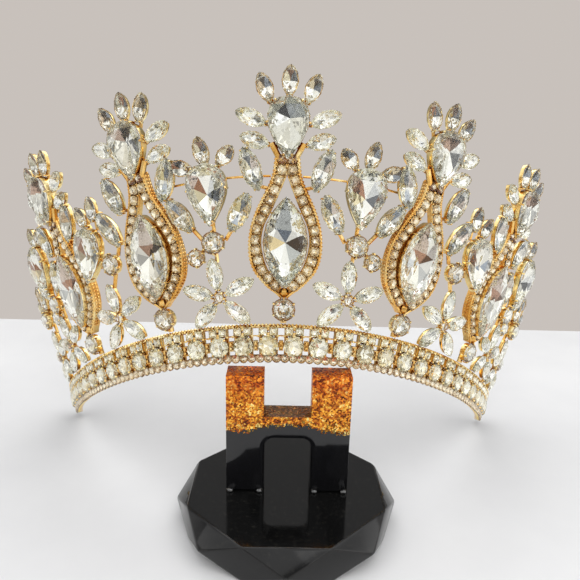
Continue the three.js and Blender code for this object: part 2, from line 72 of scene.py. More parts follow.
BASE = {"thickness": 9.3, "top_radius": 27.0, "girdle_radius": 29.5, "girdle_height": 4.65, "sides": 8}
UPRIGHT = {
    "half_width": 15.8, "depth": 6.5, "leg_gap": 6.0, "arch": 15.0, "corner": 2.5,
    "sill": 21.5, "height": 32.5, "gap_left": -6.3, "gap_right": 5.8, "foot": 0.3, "arch_edge": 1.3,
}
OVAL = {"half_width": 76.2, "depth": 104.5, "sag": -3.16, "lean": 37.0, "end": 70.1}
FRONT = Vector((-2.3, 0.8, 44.34))
BAND_HEIGHT, BAND_FLARE, WALL_FLARE = 9.5, 23.1, 27.7
MIDDLE, PITCH, END_PITCH = 0.4, 28.9, 3.04

TOP_LEAVES = [(0.1, 65.1, 0.3, 72.3), (4.4, 63.7, 7.2, 70.4)]
TOP_PETALS = [(5.5, 58.8, 12.7, 61.6), (4.6, 53.8, 11.6, 55.7)]
UPPER_LINK = (6.7, 42.9, 10.7, 52.8)
TIE, COLLAR, FOOT = (4.0, 43.1, 7.4, 43.9), (1.9, 50.2, 3.9, 54.0), (0, BAND_HEIGHT + 0.2, 0, 12.6)
KNOBS = [(17.5, 1.3), (48.4, 0.62), (50.6, 0.6)]  # up, radius
MAIN_BIG = {"navette": ("navette", 29.9), "top_pear": ("top_pear", 57.4), "foot_round": ("round", 13.3)}
LOOP_ROWS = [  # up, outer half width, inner half width
    (16.2, 0.9, 0.0), (19.0, 4.3, 0.9), (22.5, 7.3, 3.9), (26.0, 8.7, 5.4), (30.0, 9.0, 6.1),
    (34.0, 8.5, 5.5), (38.0, 7.2, 3.6), (42.0, 5.3, 1.9), (45.0, 3.9, 0.7), (47.0, 3.3, 0.0),
    (52.0, 2.8, 0.0),
]
LOOP_PLATE, LOOP_INLAY = (-1.3, 0.62, 0.0), (0.3, 0.7, 0.5)  # back, face, inset
LOOP_TRACK = {
    "low": 18.9, "high": 50.9, "inset": 1.3, "least": 1.25, "pitch": 2.5,
    "stone_out": 0.95, "prong_out": 0.75,
}
EDGE_WIRE, EDGE_BEADS = (0.32, 0.85), [(0.42, 1.12), (0.06, 0.45), (0.0, -0.45)]  # inset, out
EDGE_BEADS_LOW = 17.4
OPENING_WIRE = {"low": 18.4, "high": 49.6, "gap": 0.1, "least": 0.02, "out": 0.6}

# On the side ornaments + is away from the front. The second one on each side has a pear that hangs lower.
SIDE_LEAVES = [(0.2, 49.6, 1.6, 56.8), (-3.0, 49.5, -7.2, 53.6), (3.6, 49.0, 10.2, 51.0)]
INNER_LINK, OUTER_LINK = (4.6, 33.2, 9.9, 41.8), (5.6, 34.4, 11.4, 42.6)
LINK_ARM, DROP_ARM = (2.8, 31.0, 5.8, 34.8), (2.6, 29.6, 4.4, 28.0)
STALKS = [(0, 25.6, 0, 29.4), (0, 32, 0, 36)]
SIDE_BIG = {"side_pear": ("side_pear", 42.4), "link_round": ("round", 30.6)}
SIDE_DROP = {"across": 5.1, "up": 27.3}
FLOWER = {"up": 16.8, "inner": 1.9, "outer": 9.9, "turns": (96, 163, 226, 316, 23)}
LOW_LEAVES, LOW_LINK = [(-0.2, 44.2, -1.2, 51.0), (3.4, 43.8, 6.0, 50.0)], (-8.1, 35.4, -2.8, 45.6)
LOW_PEAR, LOW_ROUND = {"across": 4.2, "up": 36.0, "turn": 20}, {"across": -3.4, "up": 31.3}
LOW_ARMS = [(0, 25.4, -2.4, 29.2), (-0.6, 31.5, 4.4, 32.4), (-5.2, 33.2, -7.4, 36.8)]
SPRAY_LEAVES = [(0.0, 34.6, 0.0, 42.8), (2.6, 33.2, 7.6, 39.0)]
SPRAY_ROUND_UP = 30.6
WALL_WIRE = {"up": 46.3, "out": -1.5, "start": 3.0, "room": 4.1, "steps": 6}
RADIUS = {
    "edge": 0.38, "opening": 0.26, "stem": 0.5, "foot": 0.8, "small_stem": 0.55, "wall": 0.32, "band": 0.2,
}
SMALL_BEADS, RIM_BEADS, FINE_BEADS = (0.40, 0.92), (0.5, 0.95), (0.27, 0.775)  # radius, spacing

BAND_STONES, STONE_PITCH, STONE_UP = 34, 6.2, 3.85
SQUARE_SEAT, TINY_SEAT, TINY_EACH = {"up": 7.6, "out": 0.25, "aside": 1.22}, {"up": 0.75, "out": 0.2}, 3
RAILS = [(0.0, 1.5, -1.3, -0.25), (3.3, 4.6, -1.2, -0.6), (8.3, 9.1, -1.3, -0.1)]  # low, high, back, face
POST, POST_ASIDE = (0.6, 8.9, 0.45, -1.1, -0.4), 1.9  # low, high, half width, back, face
BAR = (2.7, 5.2, 0.55, -0.9, 0.3)
UPPER_DROPS, LOWER_DROPS, DROP_RADIUS = [(6.9, 0.4), (8.2, 0.4)], [(3.4, 0.5), (4.5, 0.5)], 0.5  # up, out
RIM_LINE, FINE_LINE, WIRE_LINE = (9.05, -0.1), (8.75, 0.35), (6.4, -0.1)  # up, out

# ---------------------------------------------------------------- the crown's wall

LEAN = math.radians(OVAL["lean"])
AXIS = Vector((0, math.sin(LEAN), math.cos(LEAN)))
FORWARD = Vector((0, -math.cos(LEAN), math.sin(LEAN)))
SIDEWAYS = Vector((1, 0, 0))


def measured_oval(steps=720):
    """Angles round the oval, and how far along its edge each lies."""
    angles = np.linspace(0, math.radians(OVAL["end"]) * 1.15, steps + 1)
    middle = (angles[:-1] + angles[1:]) / 2
    speed = np.hypot(OVAL["half_width"] * np.cos(middle), OVAL["depth"] * np.sin(middle))
    return angles, np.concatenate([[0], np.cumsum(speed * np.diff(angles))])


OVAL_ANGLES, OVAL_ALONG = measured_oval()
END_ALONG = float(np.interp(math.radians(OVAL["end"]), OVAL_ANGLES, OVAL_ALONG))


def wall_point(along, up, out):
    angle = math.copysign(float(np.interp(abs(along), OVAL_ALONG, OVAL_ANGLES)), along)
    cos, sin = math.cos(angle), math.sin(angle)
    behind = 1 - cos
    edge = FRONT + SIDEWAYS * (OVAL["half_width"] * sin) - FORWARD * (OVAL["depth"] * behind)
    edge += AXIS * (4 * OVAL["sag"] * behind * (1 - behind))
    outward = (SIDEWAYS * (sin / OVAL["half_width"]) + FORWARD * (cos / OVAL["depth"])).normalized()
    low, high = math.radians(BAND_FLARE), math.radians(WALL_FLARE)
    in_band, above = min(up, BAND_HEIGHT), max(up - BAND_HEIGHT, 0)
    level = in_band * math.sin(low) + above * math.sin(high) + out * math.cos(high)
    rise = in_band * math.cos(low) + above * math.cos(high) - out * math.sin(high)
    return edge + outward * level + AXIS * rise


def stretch(along, up):
    """How many millimetres of wall, at this height, go with one millimetre along."""
    reach = 1.5
    return (wall_point(along - reach, up, 0) - wall_point(along + reach, up, 0)).length / (2 * reach)


def ornament_point(centre, across, up, out):
    return wall_point(centre + across / stretch(0, up), up, out)


def true_across(centre, across, up):
    return across * stretch(centre, up) / stretch(0, up)


def seat_at(centre, across, up, turn=0.0, out=0.0):
    """Where a flat piece sits, square to the wall: x level, y up the wall, z outwards."""
    small = 0.5
    right = ornament_point(centre, across + small, up, 0) - ornament_point(centre, across - small, up, 0)
    upward = ornament_point(centre, across, up + small, 0) - ornament_point(centre, across, up - small, 0)
    outward = right.cross(upward).normalized()
    upward.normalize()
    seat = Matrix((upward.cross(outward), upward, outward)).transposed().to_4x4()
    seat.translation = ornament_point(centre, across, up, 0) + outward * out
    return seat @ Matrix.Rotation(turn, 4, "Z")


def seat_between(centre, row, side):
    """The seat of a long stone between two points of an ornament, and its length."""
    across, up, to_across, to_up = row
    rise = to_up - up
    run = true_across(centre, to_across, to_up) - true_across(centre, across, up)
    seat = seat_at(centre, side * (across + to_across) / 2, (up + to_up) / 2, -math.atan2(side * run, rise))
    return seat, math.hypot(run, rise)


# ---------------------------------------------------------------- drafting meshes

PLAIN = (0.5, 0.0, 0.0)


class Draft:
    """Points in millimetres, and faces that are a stone's back or not, each with its looks.

    A face's looks are its shade, how strongly it carries a painted dark reflection, and how finely it is
    broken up.
    """

    def __init__(self):
        self.points, self.faces, self.back, self.looks = [], [], [], []

    def add(self, points, faces):
        first = len(self.points)
        self.points += [tuple(p) for p in points]
        self.mark([tuple(first + i for i in face) for face in faces], False, [PLAIN] * len(faces))

    def mark(self, faces, back, looks):
        """Faces of points that are already there, with their looks."""
        self.faces += faces
        self.back += [back] * len(faces)
        self.looks += looks

    def mesh(self, name):
        mesh = bpy.data.meshes.new(name)
        mesh.from_pydata([(x * MM, y * MM, z * MM) for x, y, z in self.points], [], self.faces)
        mesh.attributes.new("back", "BOOLEAN", "FACE").data.foreach_set("value", self.back)
        for i, label in enumerate(("shade", "painted_reflection", "fine")):
            values = [look[i] for look in self.looks]
            mesh.attributes.new(label, "FLOAT", "FACE").data.foreach_set("value", values)
        return mesh


def tidy_normals(mesh):
    """Merges doubles and turns every closed shell outwards."""
    work = bmesh.new()
    work.from_mesh(mesh)
    bmesh.ops.remove_doubles(work, verts=work.verts, dist=1e-7)
    bmesh.ops.recalc_face_normals(work, faces=work.faces)
    work.to_mesh(mesh)
    work.free()
    return mesh


def drafted(draft):
    return tidy_normals(draft.mesh("draft"))


def circle(sides, turn=0.0):
    """The cosine and sine of each step round a circle."""
    angles = [2 * math.pi * (k + turn) / sides for k in range(sides)]
    return [(math.cos(angle), math.sin(angle)) for angle in angles]


def skin(draft, rings):
    """Joins rings of equal count from the first to the last, and closes both ends.

    Rings that rise face outwards.
    """
    count, last = len(rings[0]), len(rings) - 1
    faces = []
    for first in range(0, last * count, count):
        for i in range(count):
            j = (i + 1) % count
            faces.append((first + i, first + j, first + count + j, first + count + i))
    faces.append(tuple(reversed(range(count))))
    faces.append(tuple(range(last * count, (last + 1) * count)))
    draft.add([p for one in rings for p in one], faces)


BALL_ROWS = [(-0.85, 0.5), (-0.2, 0.98), (0.45, 0.88), (0.9, 0.4)]  # height and reach, for a radius of 1


def ball(draft, centre, radius, squash=1.0, sides=6):
    """A small ball of metal or glue."""
    rings, middle = [], Vector(centre)
    for height, reach in BALL_ROWS:
        wide, level = radius * reach, radius * height * squash
        rings.append([middle + Vector((wide * cos, wide * sin, level)) for cos, sin in circle(sides)])
    skin(draft, rings)


def balls(spots, squash=1.0, sides=6):
    """Balls at these centres, each with its radius."""
    draft = Draft()
    for centre, radius in spots:
        ball(draft, centre, radius, squash, sides)
    return draft


def shell(rings):
    """The closed mesh of a skin on rings."""
    draft = Draft()
    skin(draft, rings)
    return drafted(draft)


# ---------------------------------------------------------------- outlines, stones and their settings

POINTEDNESS = {"navette": (0.70, 0.70), "leaf": (0.34, 0.45), "link": (0.32, 0.38)}  # upper end, lower end
PEAR_FULLNESS, SQUARE_FULLNESS = 0.77, 0.9


def outline(kind, angle):
    """A stone's edge for a ray at this angle, as half width across and half length up."""
    cos, sin = math.cos(angle), math.sin(angle)
    if kind in POINTEDNESS:
        return cos * abs(cos) ** POINTEDNESS[kind][0 if sin > 0 else 1], sin
    if kind == "pear":
        return cos * math.sqrt(max(1 + sin, 0) / 2) / PEAR_FULLNESS, sin
    if kind == "square":
        size = max(abs(cos), abs(sin))
        return SQUARE_FULLNESS * cos / size, SQUARE_FULLNESS * sin / size
    if kind == "cushion":
        size = (cos**4 + sin**4) ** 0.25
        return cos / size, sin / size
    return cos, sin


def ring(kind, size, reach, level, sides, turn=0.0, margin=0.0):
    """One ring of points on an outline. margin moves it outwards in millimetres."""
    across, up = (reach * (side / 2 + margin) for side in size)
    found = [outline(kind, math.pi / 2 + 2 * math.pi * (i + turn) / sides) for i in range(sides)]
    return [(x * across, y * up, level) for x, y in found]


GIRDLE_PART, STAR_PART, LOW_PART, CORNER_PART = 0.06, 0.62, 0.38, 0.58  # parts of a stone's height
GOLDEN_STEP, SHADE_STEPS = 0.618, (0.13, 0.31, 0.67)
RIM_FINE = 0.6


def cut_stone(size, kind, levels, mains, reaches, painted_reflections=(), rim_painted_reflection=0.0, fine=0.0, inner=(), tip=(0, 0)):
    """A brilliant cut on any outline: table, stars, kites and girdle facets, and a pointed back.

    levels: heights of the back's point, the girdle and the table. reaches: how far out the table, the
    stars and the back's inner facets go. The table of painted reflections gives the inner facets, counted
    from the top to the left, that carry a painted dark reflection standing in for the room seen in them, as
    (strength, tone). fine: how much the inner facets are broken up; those at the rim always are. inner:
    corners of the inner facets, when they don't follow the outline, and tip: where the back's point lies,
    both as parts of the half size.
    """
    foot, girdle, table = levels
    table_reach, star_reach, low_reach = reaches
    half_width, half_length = size[0] / 2, size[1] / 2
    thick = GIRDLE_PART * (table - foot)
    m = mains
    top = ring(kind, size, table_reach, table, m)
    star = ring(kind, size, star_reach, girdle + (table - girdle) * STAR_PART, m, 0.5)
    edge, rim = (ring(kind, size, 1, level, 2 * m) for level in (girdle + thick, girdle - thick))
    low = ring(kind, size, low_reach, foot + (girdle - foot) * LOW_PART, m, 0.5)
    if inner:
        rise = (girdle - foot) * CORNER_PART
        low = [(x * half_width, y * half_length, foot + rise * math.hypot(x, y)) for x, y in inner]
    draft = Draft()
    draft.add(top + star + edge + rim + low + [(tip[0] * half_width, tip[1] * half_length, foot)], [])
    s, e, r, q, point = m, 2 * m, 4 * m, 6 * m, 7 * m
    front = [tuple(range(m))]
    for k in range(m):
        after, before = (k + 1) % m, (k - 1) % m
        front.append((k, s + k, after))
        front.append((k, s + before, e + 2 * k, s + k))
        front.append((s + k, e + 2 * k, e + 2 * k + 1))
        front.append((s + k, e + 2 * k + 1, e + 2 * after))
    front += [(e + i, r + i, r + (i + 1) % (2 * m), e + (i + 1) % (2 * m)) for i in range(2 * m)]
    draft.mark(front, False, [PLAIN] * len(front))
    painted_reflections = dict(painted_reflections)
    for k in range(m):
        before = (k - 1) % m
        behind = [(point, q + k, q + before), (q + before, q + k, r + 2 * k)]
        behind += [(q + k, r + 2 * k + 1, r + 2 * k), (q + k, r + (2 * k + 2) % (2 * m), r + 2 * k + 1)]
        # an inner facet's painted dark reflection, if it carries one
        strength, tone = painted_reflections.get(k, (0.0, 0.5))
        shades = [(k * GOLDEN_STEP + step) % 1 for step in SHADE_STEPS]
        looks = [(tone if strength else shades[0], strength, fine)]
        looks.append((tone, 0.6 * strength, (RIM_FINE + fine) / 2))
        # the rim facets carry painted dark reflections too, of random tone, as strong as the rim's amount
        draft.mark(behind, True, looks + [(shade, rim_painted_reflection, RIM_FINE) for shade in shades[1:]])
    return draft


def collet(draft, kind, size, levels, sides, margin, flare, wall):
    """A closed cup: a wall that follows the stone's edge, a lip under it and a floor."""
    back, seat, lip = levels
    rows = [
        (0.94, back, margin - 0.3), (1.0, back + 0.25, margin),
        (1.0, lip - 0.2, margin + flare), (1.0, lip, margin + flare - 0.08),
        (1.0, lip - 0.02, margin - wall + 0.1), (0.92, seat, margin - wall),
    ]
    skin(draft, [ring(kind, size, reach, level, sides, 0, moved) for reach, level, moved in rows])


CLAW_GAP, CLAW_FLATNESS = 0.02, 0.36


def claw(draft, kind, size, degrees, low, high, over, thick):
    """A claw that stands at the stone's edge, from low to high, and bends over its rim."""
    width, length = size
    angle, small = math.radians(degrees), 0.02
    x, y = outline(kind, angle)
    edge = Vector((x * width / 2, y * length / 2, 0))
    ahead, behind = outline(kind, angle + small), outline(kind, angle - small)
    tangent = Vector(((ahead[0] - behind[0]) * width, (ahead[1] - behind[1]) * length, 0)).normalized()
    outward = Vector((tangent.y, -tangent.x, 0))
    spine = [  # distance outwards, level, thickness, and how far it leans over
        (CLAW_GAP, low, 1.0, 0.0), (CLAW_GAP + 0.08, (low + high) / 2, 1.0, 0.0),
        (CLAW_GAP, high, 0.95, 0.4), (CLAW_GAP - 0.55 * over, high + 0.24, 0.8, 0.8),
        (CLAW_GAP - over, high + 0.2, 0.35, 0.95),
    ]
    rings = []
    for distance, level, part, lean in spine:
        centre = edge + outward * distance + Vector((0, 0, level))
        deep = (outward * (1 - lean) + Vector((0, 0, lean))).normalized() * (thick * CLAW_FLATNESS * part)
        across = tangent * (thick * part / 2)
        rings.append([centre + across * cos + deep * sin for cos, sin in circle(6)])
    skin(draft, rings)


def setting(size, kind, levels, sides, claws=(), shape=(), margin=-0.25, flare=0.12, wall=0.35):
    """A cup with claws at these turns, in degrees.

    levels: heights of its back, its floor and its lip. shape: a claw's two heights, how far it goes over
    the stone, and its thickness.
    """
    draft = Draft()
    collet(draft, kind, size, levels, sides, margin, flare, wall)
    for degrees in claws:
        claw(draft, kind, size, degrees, *shape)
    return draft


def beaded_square(size, levels, radius):
    """A square cup with a bead at each corner."""
    draft = setting(size, "square", levels, 8, (), (), 0.15, 0.0, 0.2)
    for x in SIDES:
        for y in SIDES:
            corner = (x * (size[0] / 2 + 0.05), y * (size[1] / 2 + 0.05), levels[2] + 0.25)
            ball(draft, corner, radius, 0.8)
    return draft


def family(name, drafts):
    """A collection of patterns for the seat tree, and each pattern's place in it."""
    box = bpy.data.collections.new(name)
    for key in sorted(drafts):
        box.objects.link(bpy.data.objects.new(f"{name}_{key}", tidy_normals(drafts[key].mesh(key))))
    return box, {key: i for i, key in enumerate(sorted(drafts))}


# ---------------------------------------------------------------- patterns

SIZES = {
    "navette": (11.2, 22.4), "top_pear": (10.5, 15.1), "side_pear": (10.5, 15.5), "round": (5.9, 5.9),
    "small_round": (4.7, 4.7), "heart": (2.6, 2.6), "leaf": (4.3, 7.4), "petal": (4.3, 7.4),
    "link": (5.3, 10.8), "band_round": (5.1, 5.5), "square": (2.3, 2.3), "chaton": (2.42, 2.42),
    "tiny": (2.3, 2.3), "outer_navette": (11.2, 22.4), "outer_top_pear": (10.5, 15.1),
}
DEEP, MIDDLING, LOW = (0.5, 2.7, 4.4), (0.1, 1.7, 2.8), (-0.4, 0.9, 1.9)
FLAT, FLATTER = (-0.25, 0.5, 1.6), (-0.2, 0.35, 0.85)

# Places of the tones on the foils' scale of painted dark reflections, which stand in for darker parts of the
# room seen in a facet.
BLACK, SLATE, BLUE, MIST, OLIVE, RUST, BROWN = 0.0, 0.2, 0.4, 0.48, 0.6, 0.8, 0.95
# For each cut: the inner facets that carry a painted dark reflection, as (strength, tone).
NAVETTE_PAINTED_REFLECTIONS = {0: (1.0, SLATE), 2: (0.85, OLIVE), 3: (0.15, BLUE), 5: (0.5, SLATE), 6: (1.0, BROWN)}
OUTER_NAVETTE_PAINTED_REFLECTIONS = {0: (0.9, RUST), 2: (0.3, BLUE), 4: (0.3, MIST), 5: (0.5, SLATE), 7: (1.0, BROWN)}
TOP_PAINTED_REFLECTIONS = {
    0: (0.75, SLATE), 1: (1.0, BLACK), 2: (0.4, BLUE), 3: (0.35, MIST), 4: (0.5, MIST), 5: (0.3, MIST),
    6: (0.45, MIST), 7: (0.6, SLATE),
}
OUTER_TOP_PAINTED_REFLECTIONS = {0: (0.95, BROWN), 1: (0.75, RUST), 3: (0.3, MIST), 4: (0.5, MIST), 6: (0.7, SLATE)}
SIDE_PAINTED_REFLECTIONS = {1: (0.95, RUST), 2: (0.7, OLIVE), 6: (0.95, SLATE), 7: (0.35, BLUE)}
LEAF_PAINTED_REFLECTIONS = {0: (0.95, BROWN), 1: (0.7, OLIVE), 5: (0.9, SLATE)}
PETAL_PAINTED_REFLECTIONS = {1: (0.45, OLIVE), 3: (0.6, SLATE)}
LINK_PAINTED_REFLECTIONS = {0: (0.9, SLATE), 1: (0.85, OLIVE), 3: (0.7, BLUE), 5: (0.5, BROWN)}
ROUND_PAINTED_REFLECTIONS = {0: (0.6, OLIVE), 2: (0.3, RUST), 3: (0.5, OLIVE), 5: (0.6, SLATE), 6: (0.4, OLIVE)}
NAVETTE_CORNERS = [
    (-0.40, 0.30), (-0.66, 0.16), (-0.57, -0.18), (-0.21, -0.45),
    (0.21, -0.45), (0.61, -0.20), (0.68, 0.18), (0.27, 0.26),
]
TOP_CORNERS = [
    (-0.14, 0.70), (-0.48, 0.45), (-0.62, 0.0), (-0.36, -0.42),
    (0.10, -0.62), (0.50, -0.25), (0.72, 0.36), (0.50, 0.70),
]
TOP_TIP = (0.07, 0.30)
LONG, PEAR, ROUND = (0.60, 0.80, 0.66), (0.58, 0.80, 0.60), (0.55, 0.78, 0.50)  # reaches
# Each cut: outline, levels, mains, reaches, the inner facets' painted dark reflections, how strongly the rim
# facets carry one, how finely the inner facets are broken up, and the inner corners and tip where given.
CUTS = {
    "navette": ("navette", DEEP, 8, LONG, NAVETTE_PAINTED_REFLECTIONS, 0.0, 0.0, NAVETTE_CORNERS),
    "outer_navette": ("navette", DEEP, 8, LONG, OUTER_NAVETTE_PAINTED_REFLECTIONS, 0.0, 0.0, NAVETTE_CORNERS),
    "top_pear": ("pear", DEEP, 8, PEAR, TOP_PAINTED_REFLECTIONS, 0.1, 0.15, TOP_CORNERS, TOP_TIP),
    "outer_top_pear": ("pear", DEEP, 8, PEAR, OUTER_TOP_PAINTED_REFLECTIONS, 0.1, 0.15, TOP_CORNERS, TOP_TIP),
    "side_pear": ("pear", DEEP, 8, PEAR, SIDE_PAINTED_REFLECTIONS, 0.08),
    "round": ("round", MIDDLING, 8, ROUND, ROUND_PAINTED_REFLECTIONS, 0.3),
    "small_round": ("round", LOW, 8, ROUND, ROUND_PAINTED_REFLECTIONS, 0.3),
    "heart": ("round", FLAT, 7, (0.55, 0.78, 0.42), (), 0.2),
    "leaf": ("leaf", LOW, 6, (0.50, 0.76, 0.68), LEAF_PAINTED_REFLECTIONS, 0.0, 0.7),
    "petal": ("leaf", LOW, 6, (0.50, 0.76, 0.50), PETAL_PAINTED_REFLECTIONS, 0.0, 0.6),
    "link": ("link", MIDDLING, 6, (0.52, 0.78, 0.62), LINK_PAINTED_REFLECTIONS, 0.0, 0.5),
    "band_round": ("round", FLAT, 8, (0.54, 0.78, 0.45), (), 0.15),
    "square": ("square", FLATTER, 4, (0.55, 0.78, 0.42)),
    "chaton": ("cushion", FLATTER, 4, (0.50, 0.80, 0.45), (), 0.08),
    "tiny": ("round", FLATTER, 6, (0.55, 0.80, 0.50), (), 0.15),
}

PEAR_CLAWS, CROSS = (10, 60, 120, 170, 238, 302), range(45, 360, 90)
FIVE, SIX = range(54, 360, 72), range(30, 360, 60)
BIG_CLAW, LEAF_CLAW, LEAF_LEVELS = (1.0, 2.9, 0.35, 0.6), (-0.3, 1.1, 0.3, 0.5), (-0.8, -0.5, 0.45)
SETTINGS = {
    "navette": ("navette", (-0.6, 0.4, 2.4), 28, (40, 140, 220, 320), (1.0, 2.9, 0.3, 0.5), -0.2),
    "top_pear": ("pear", (-0.4, 0.4, 2.3), 24, PEAR_CLAWS, BIG_CLAW, -0.2),
    "side_pear": ("pear", (0.1, 0.5, 2.3), 24, PEAR_CLAWS, BIG_CLAW, -0.2),
    "round": ("round", (-0.4, -0.1, 1.5), 16, SIX, (0.6, 1.9, 0.4, 0.6), -0.25, 0.05),
    "small_round": ("round", (-0.6, -0.3, 0.7), 16, SIX, (-0.2, 1.1, 0.4, 0.6), -0.25, 0.05),
    "heart": ("round", (-0.9, -0.4, 0.3), 12, FIVE, (-0.5, 0.6, 0.35, 0.95)),
    "leaf": ("leaf", LEAF_LEVELS, 14, (244, 296), LEAF_CLAW, -0.35, 0.05),
    "petal": ("leaf", LEAF_LEVELS, 14, (252, 288), LEAF_CLAW, -0.35, 0.05),
    "link": ("link", (-0.3, 0.0, 1.15), 18, (62, 118, 242, 298), (0.3, 1.85, 0.3, 0.5), -0.35, 0.05),
    "band_round": ("round", (-1.2, -1.0, 0.25), 14, CROSS, (-0.3, 0.75, 0.4, 0.6)),
    "tiny": ("round", (-0.9, -0.5, 0.1), 8),
}
PRONG_ASIDE, PRONG_LEVEL, PRONG_RADIUS = 1.12, 0.32, 0.34

STONES = family("stone", {name: cut_stone(SIZES[name], *cut) for name, cut in CUTS.items()})
CUPS = family("cup", {
    **{name: setting(SIZES[name], *made) for name, made in SETTINGS.items()},
    "square": beaded_square(SIZES["square"], (-0.8, -0.4, 0.2), 0.36),
    "prongs": balls([((side * PRONG_ASIDE, 0, PRONG_LEVEL), PRONG_RADIUS) for side in SIDES]),
})

# ---------------------------------------------------------------- Geometry Nodes trees


class Tree:
    """A small hand for wiring a node tree."""

    def __init__(self, tree):
        self.tree = tree

    def feed(self, node, links):
        """Links a node's inputs to sockets, or sets them to plain values."""
        for name, source in links.items():
            target = node.inputs[name]
            if isinstance(source, bpy.types.NodeSocket):
                self.tree.links.new(source, target)
            elif target.type == "RGBA":
                target.default_value = (*source, 1)
            else:
                target.default_value = source

    def node(self, kind, links={}, **settings):
        made = self.tree.nodes.new(kind)
        for key, value in settings.items():
            setattr(made, key, value)
        self.feed(made, links)
        return made

    def get(self, kind, links={}, output=0, **settings):
        """One output of a new node."""
        return self.node(kind, links, **settings).outputs[output]

    def ramp(self, value, stops, still="LINEAR"):
        made = self.node("ShaderNodeValToRGB", {"Fac": value})
        made.color_ramp.interpolation = still
        made_stops = made.color_ramp.elements
        for i, (place, colour) in enumerate(stops):
            stop = made_stops[i] if i < 2 else made_stops.new(place)
            stop.position = place
            stop.color = (*colour, 1)
        return made.outputs["Color"]

    def span(self, value, low, high, start=0.0, end=1.0):
        """Maps start..end of a value to low..high."""
        limits = {"From Min": start, "From Max": end, "To Min": low, "To Max": high}
        return self.get("ShaderNodeMapRange", {"Value": value, **limits})

    def maths(self, kind, *values, clamp=False):
        return self.get("ShaderNodeMath", dict(enumerate(values)), operation=kind, use_clamp=clamp)

    def times(self, first, second):
        return self.maths("MULTIPLY", first, second)

    def blend(self, kind, amount, first, second):
        """Mixes two colours; each is a socket or a plain colour."""
        links = {0: amount, 6: first, 7: second}
        return self.get("ShaderNodeMix", links, 2, data_type="RGBA", blend_type=kind)


def geometry_tree(name, inputs):
    """A new tree's hand, what the tree is given, and the identifiers of its named inputs."""
    tree = bpy.data.node_groups.new(name, "GeometryNodeTree")
    tree.interface.new_socket("Geometry", in_out="INPUT", socket_type="NodeSocketGeometry")
    sockets = {}
    for label, kind in inputs.items():
        socket = tree.interface.new_socket(label, in_out="INPUT", socket_type=f"NodeSocket{kind}")
        sockets[label] = socket.identifier
    tree.interface.new_socket("Geometry", in_out="OUTPUT", socket_type="NodeSocketGeometry")
    hand = Tree(tree)
    return hand, hand.node("NodeGroupInput").outputs, sockets


def marked(hand, name, kind):
    return hand.get("GeometryNodeInputNamedAttribute", {"Name": name}, data_type=kind)


def seat_tree():
    """Sets a pattern on every seat, gives each its own luck, and puts a finish on its front and its back."""
    inputs = {"Patterns": "Collection", "Front": "Material", "Back": "Material", "Seed": "Int"}
    hand, given, sockets = geometry_tree("set_stones_on_seats", inputs)
    choice = {"Collection": given["Patterns"], "Separate Children": True, "Reset Children": True}
    placed = hand.get("GeometryNodeInstanceOnPoints", {
        "Points": given["Geometry"], "Instance": hand.get("GeometryNodeCollectionInfo", choice),
        "Pick Instance": True, "Instance Index": marked(hand, "which", "INT"),
        "Rotation": hand.get("FunctionNodeEulerToRotation", {"Euler": marked(hand, "turn", "FLOAT_VECTOR")}),
        "Scale": marked(hand, "size", "FLOAT_VECTOR"),
    })
    draw = {"ID": hand.get("GeometryNodeInputIndex"), "Seed": given["Seed"]}
    luck = hand.get("FunctionNodeRandomValue", draw, 1, data_type="FLOAT")
    lucky = hand.get(
        "GeometryNodeStoreNamedAttribute", {"Geometry": placed, "Name": "luck", "Value": luck},
        data_type="FLOAT", domain="INSTANCE",
    )
    real = hand.get("GeometryNodeRealizeInstances", {"Geometry": lucky})
    front = hand.get("GeometryNodeSetMaterial", {"Geometry": real, "Material": given["Front"]})
    is_back = marked(hand, "back", "BOOLEAN")
    both = {"Geometry": front, "Selection": is_back, "Material": given["Back"]}
    hand.node("NodeGroupOutput", {"Geometry": hand.get("GeometryNodeSetMaterial", both)})
    return hand.tree, sockets


def path_tree(name, beaded):
    """Draws a round wire along every path, or strings small beads along it."""
    inputs = {"Radius": "Float", "Step": "Float", "Finish": "Material"}
    if not beaded:
        inputs["Sides"] = "Int"
    hand, given, sockets = geometry_tree(name, inputs)
    curve = hand.get("GeometryNodeMeshToCurve", {"Mesh": given["Geometry"]})
    even = hand.get("GeometryNodeResampleCurve", {"Curve": curve, "Length": given["Step"]}, mode="LENGTH")
    if beaded:
        bead = hand.get("GeometryNodeMeshIcoSphere", {"Radius": given["Radius"], "Subdivisions": 1})
        made = hand.get("GeometryNodeInstanceOnPoints", {"Points": even, "Instance": bead})
    else:
        size = {"Resolution": given["Sides"], "Radius": given["Radius"]}
        section = hand.get("GeometryNodeCurvePrimitiveCircle", size)
        drawn = {"Curve": even, "Profile Curve": section, "Fill Caps": True}
        made = hand.get("GeometryNodeCurveToMesh", drawn)
    real = hand.get("GeometryNodeRealizeInstances", {"Geometry": made})
    done = hand.get("GeometryNodeSetMaterial", {"Geometry": real, "Material": given["Finish"]})
    hand.node("NodeGroupOutput", {"Geometry": done})
    return hand.tree, sockets


SEAT_TREE = seat_tree()
WIRE_TREE, BEAD_TREE = path_tree("wire_on_paths", False), path_tree("beads_on_paths", True)
WIRE_STEP, SHARP = 0.8, math.radians(38)


def plain_copy(holder):
    """The mesh that an object's modifier makes. The object is removed."""
    bpy.context.scene.collection.objects.link(holder)
    graph = bpy.context.evaluated_depsgraph_get()
    made = holder.evaluated_get(graph)
    mesh = bpy.data.meshes.new_from_object(made, preserve_all_data_layers=True, depsgraph=graph)
    bpy.data.objects.remove(holder)
    return mesh


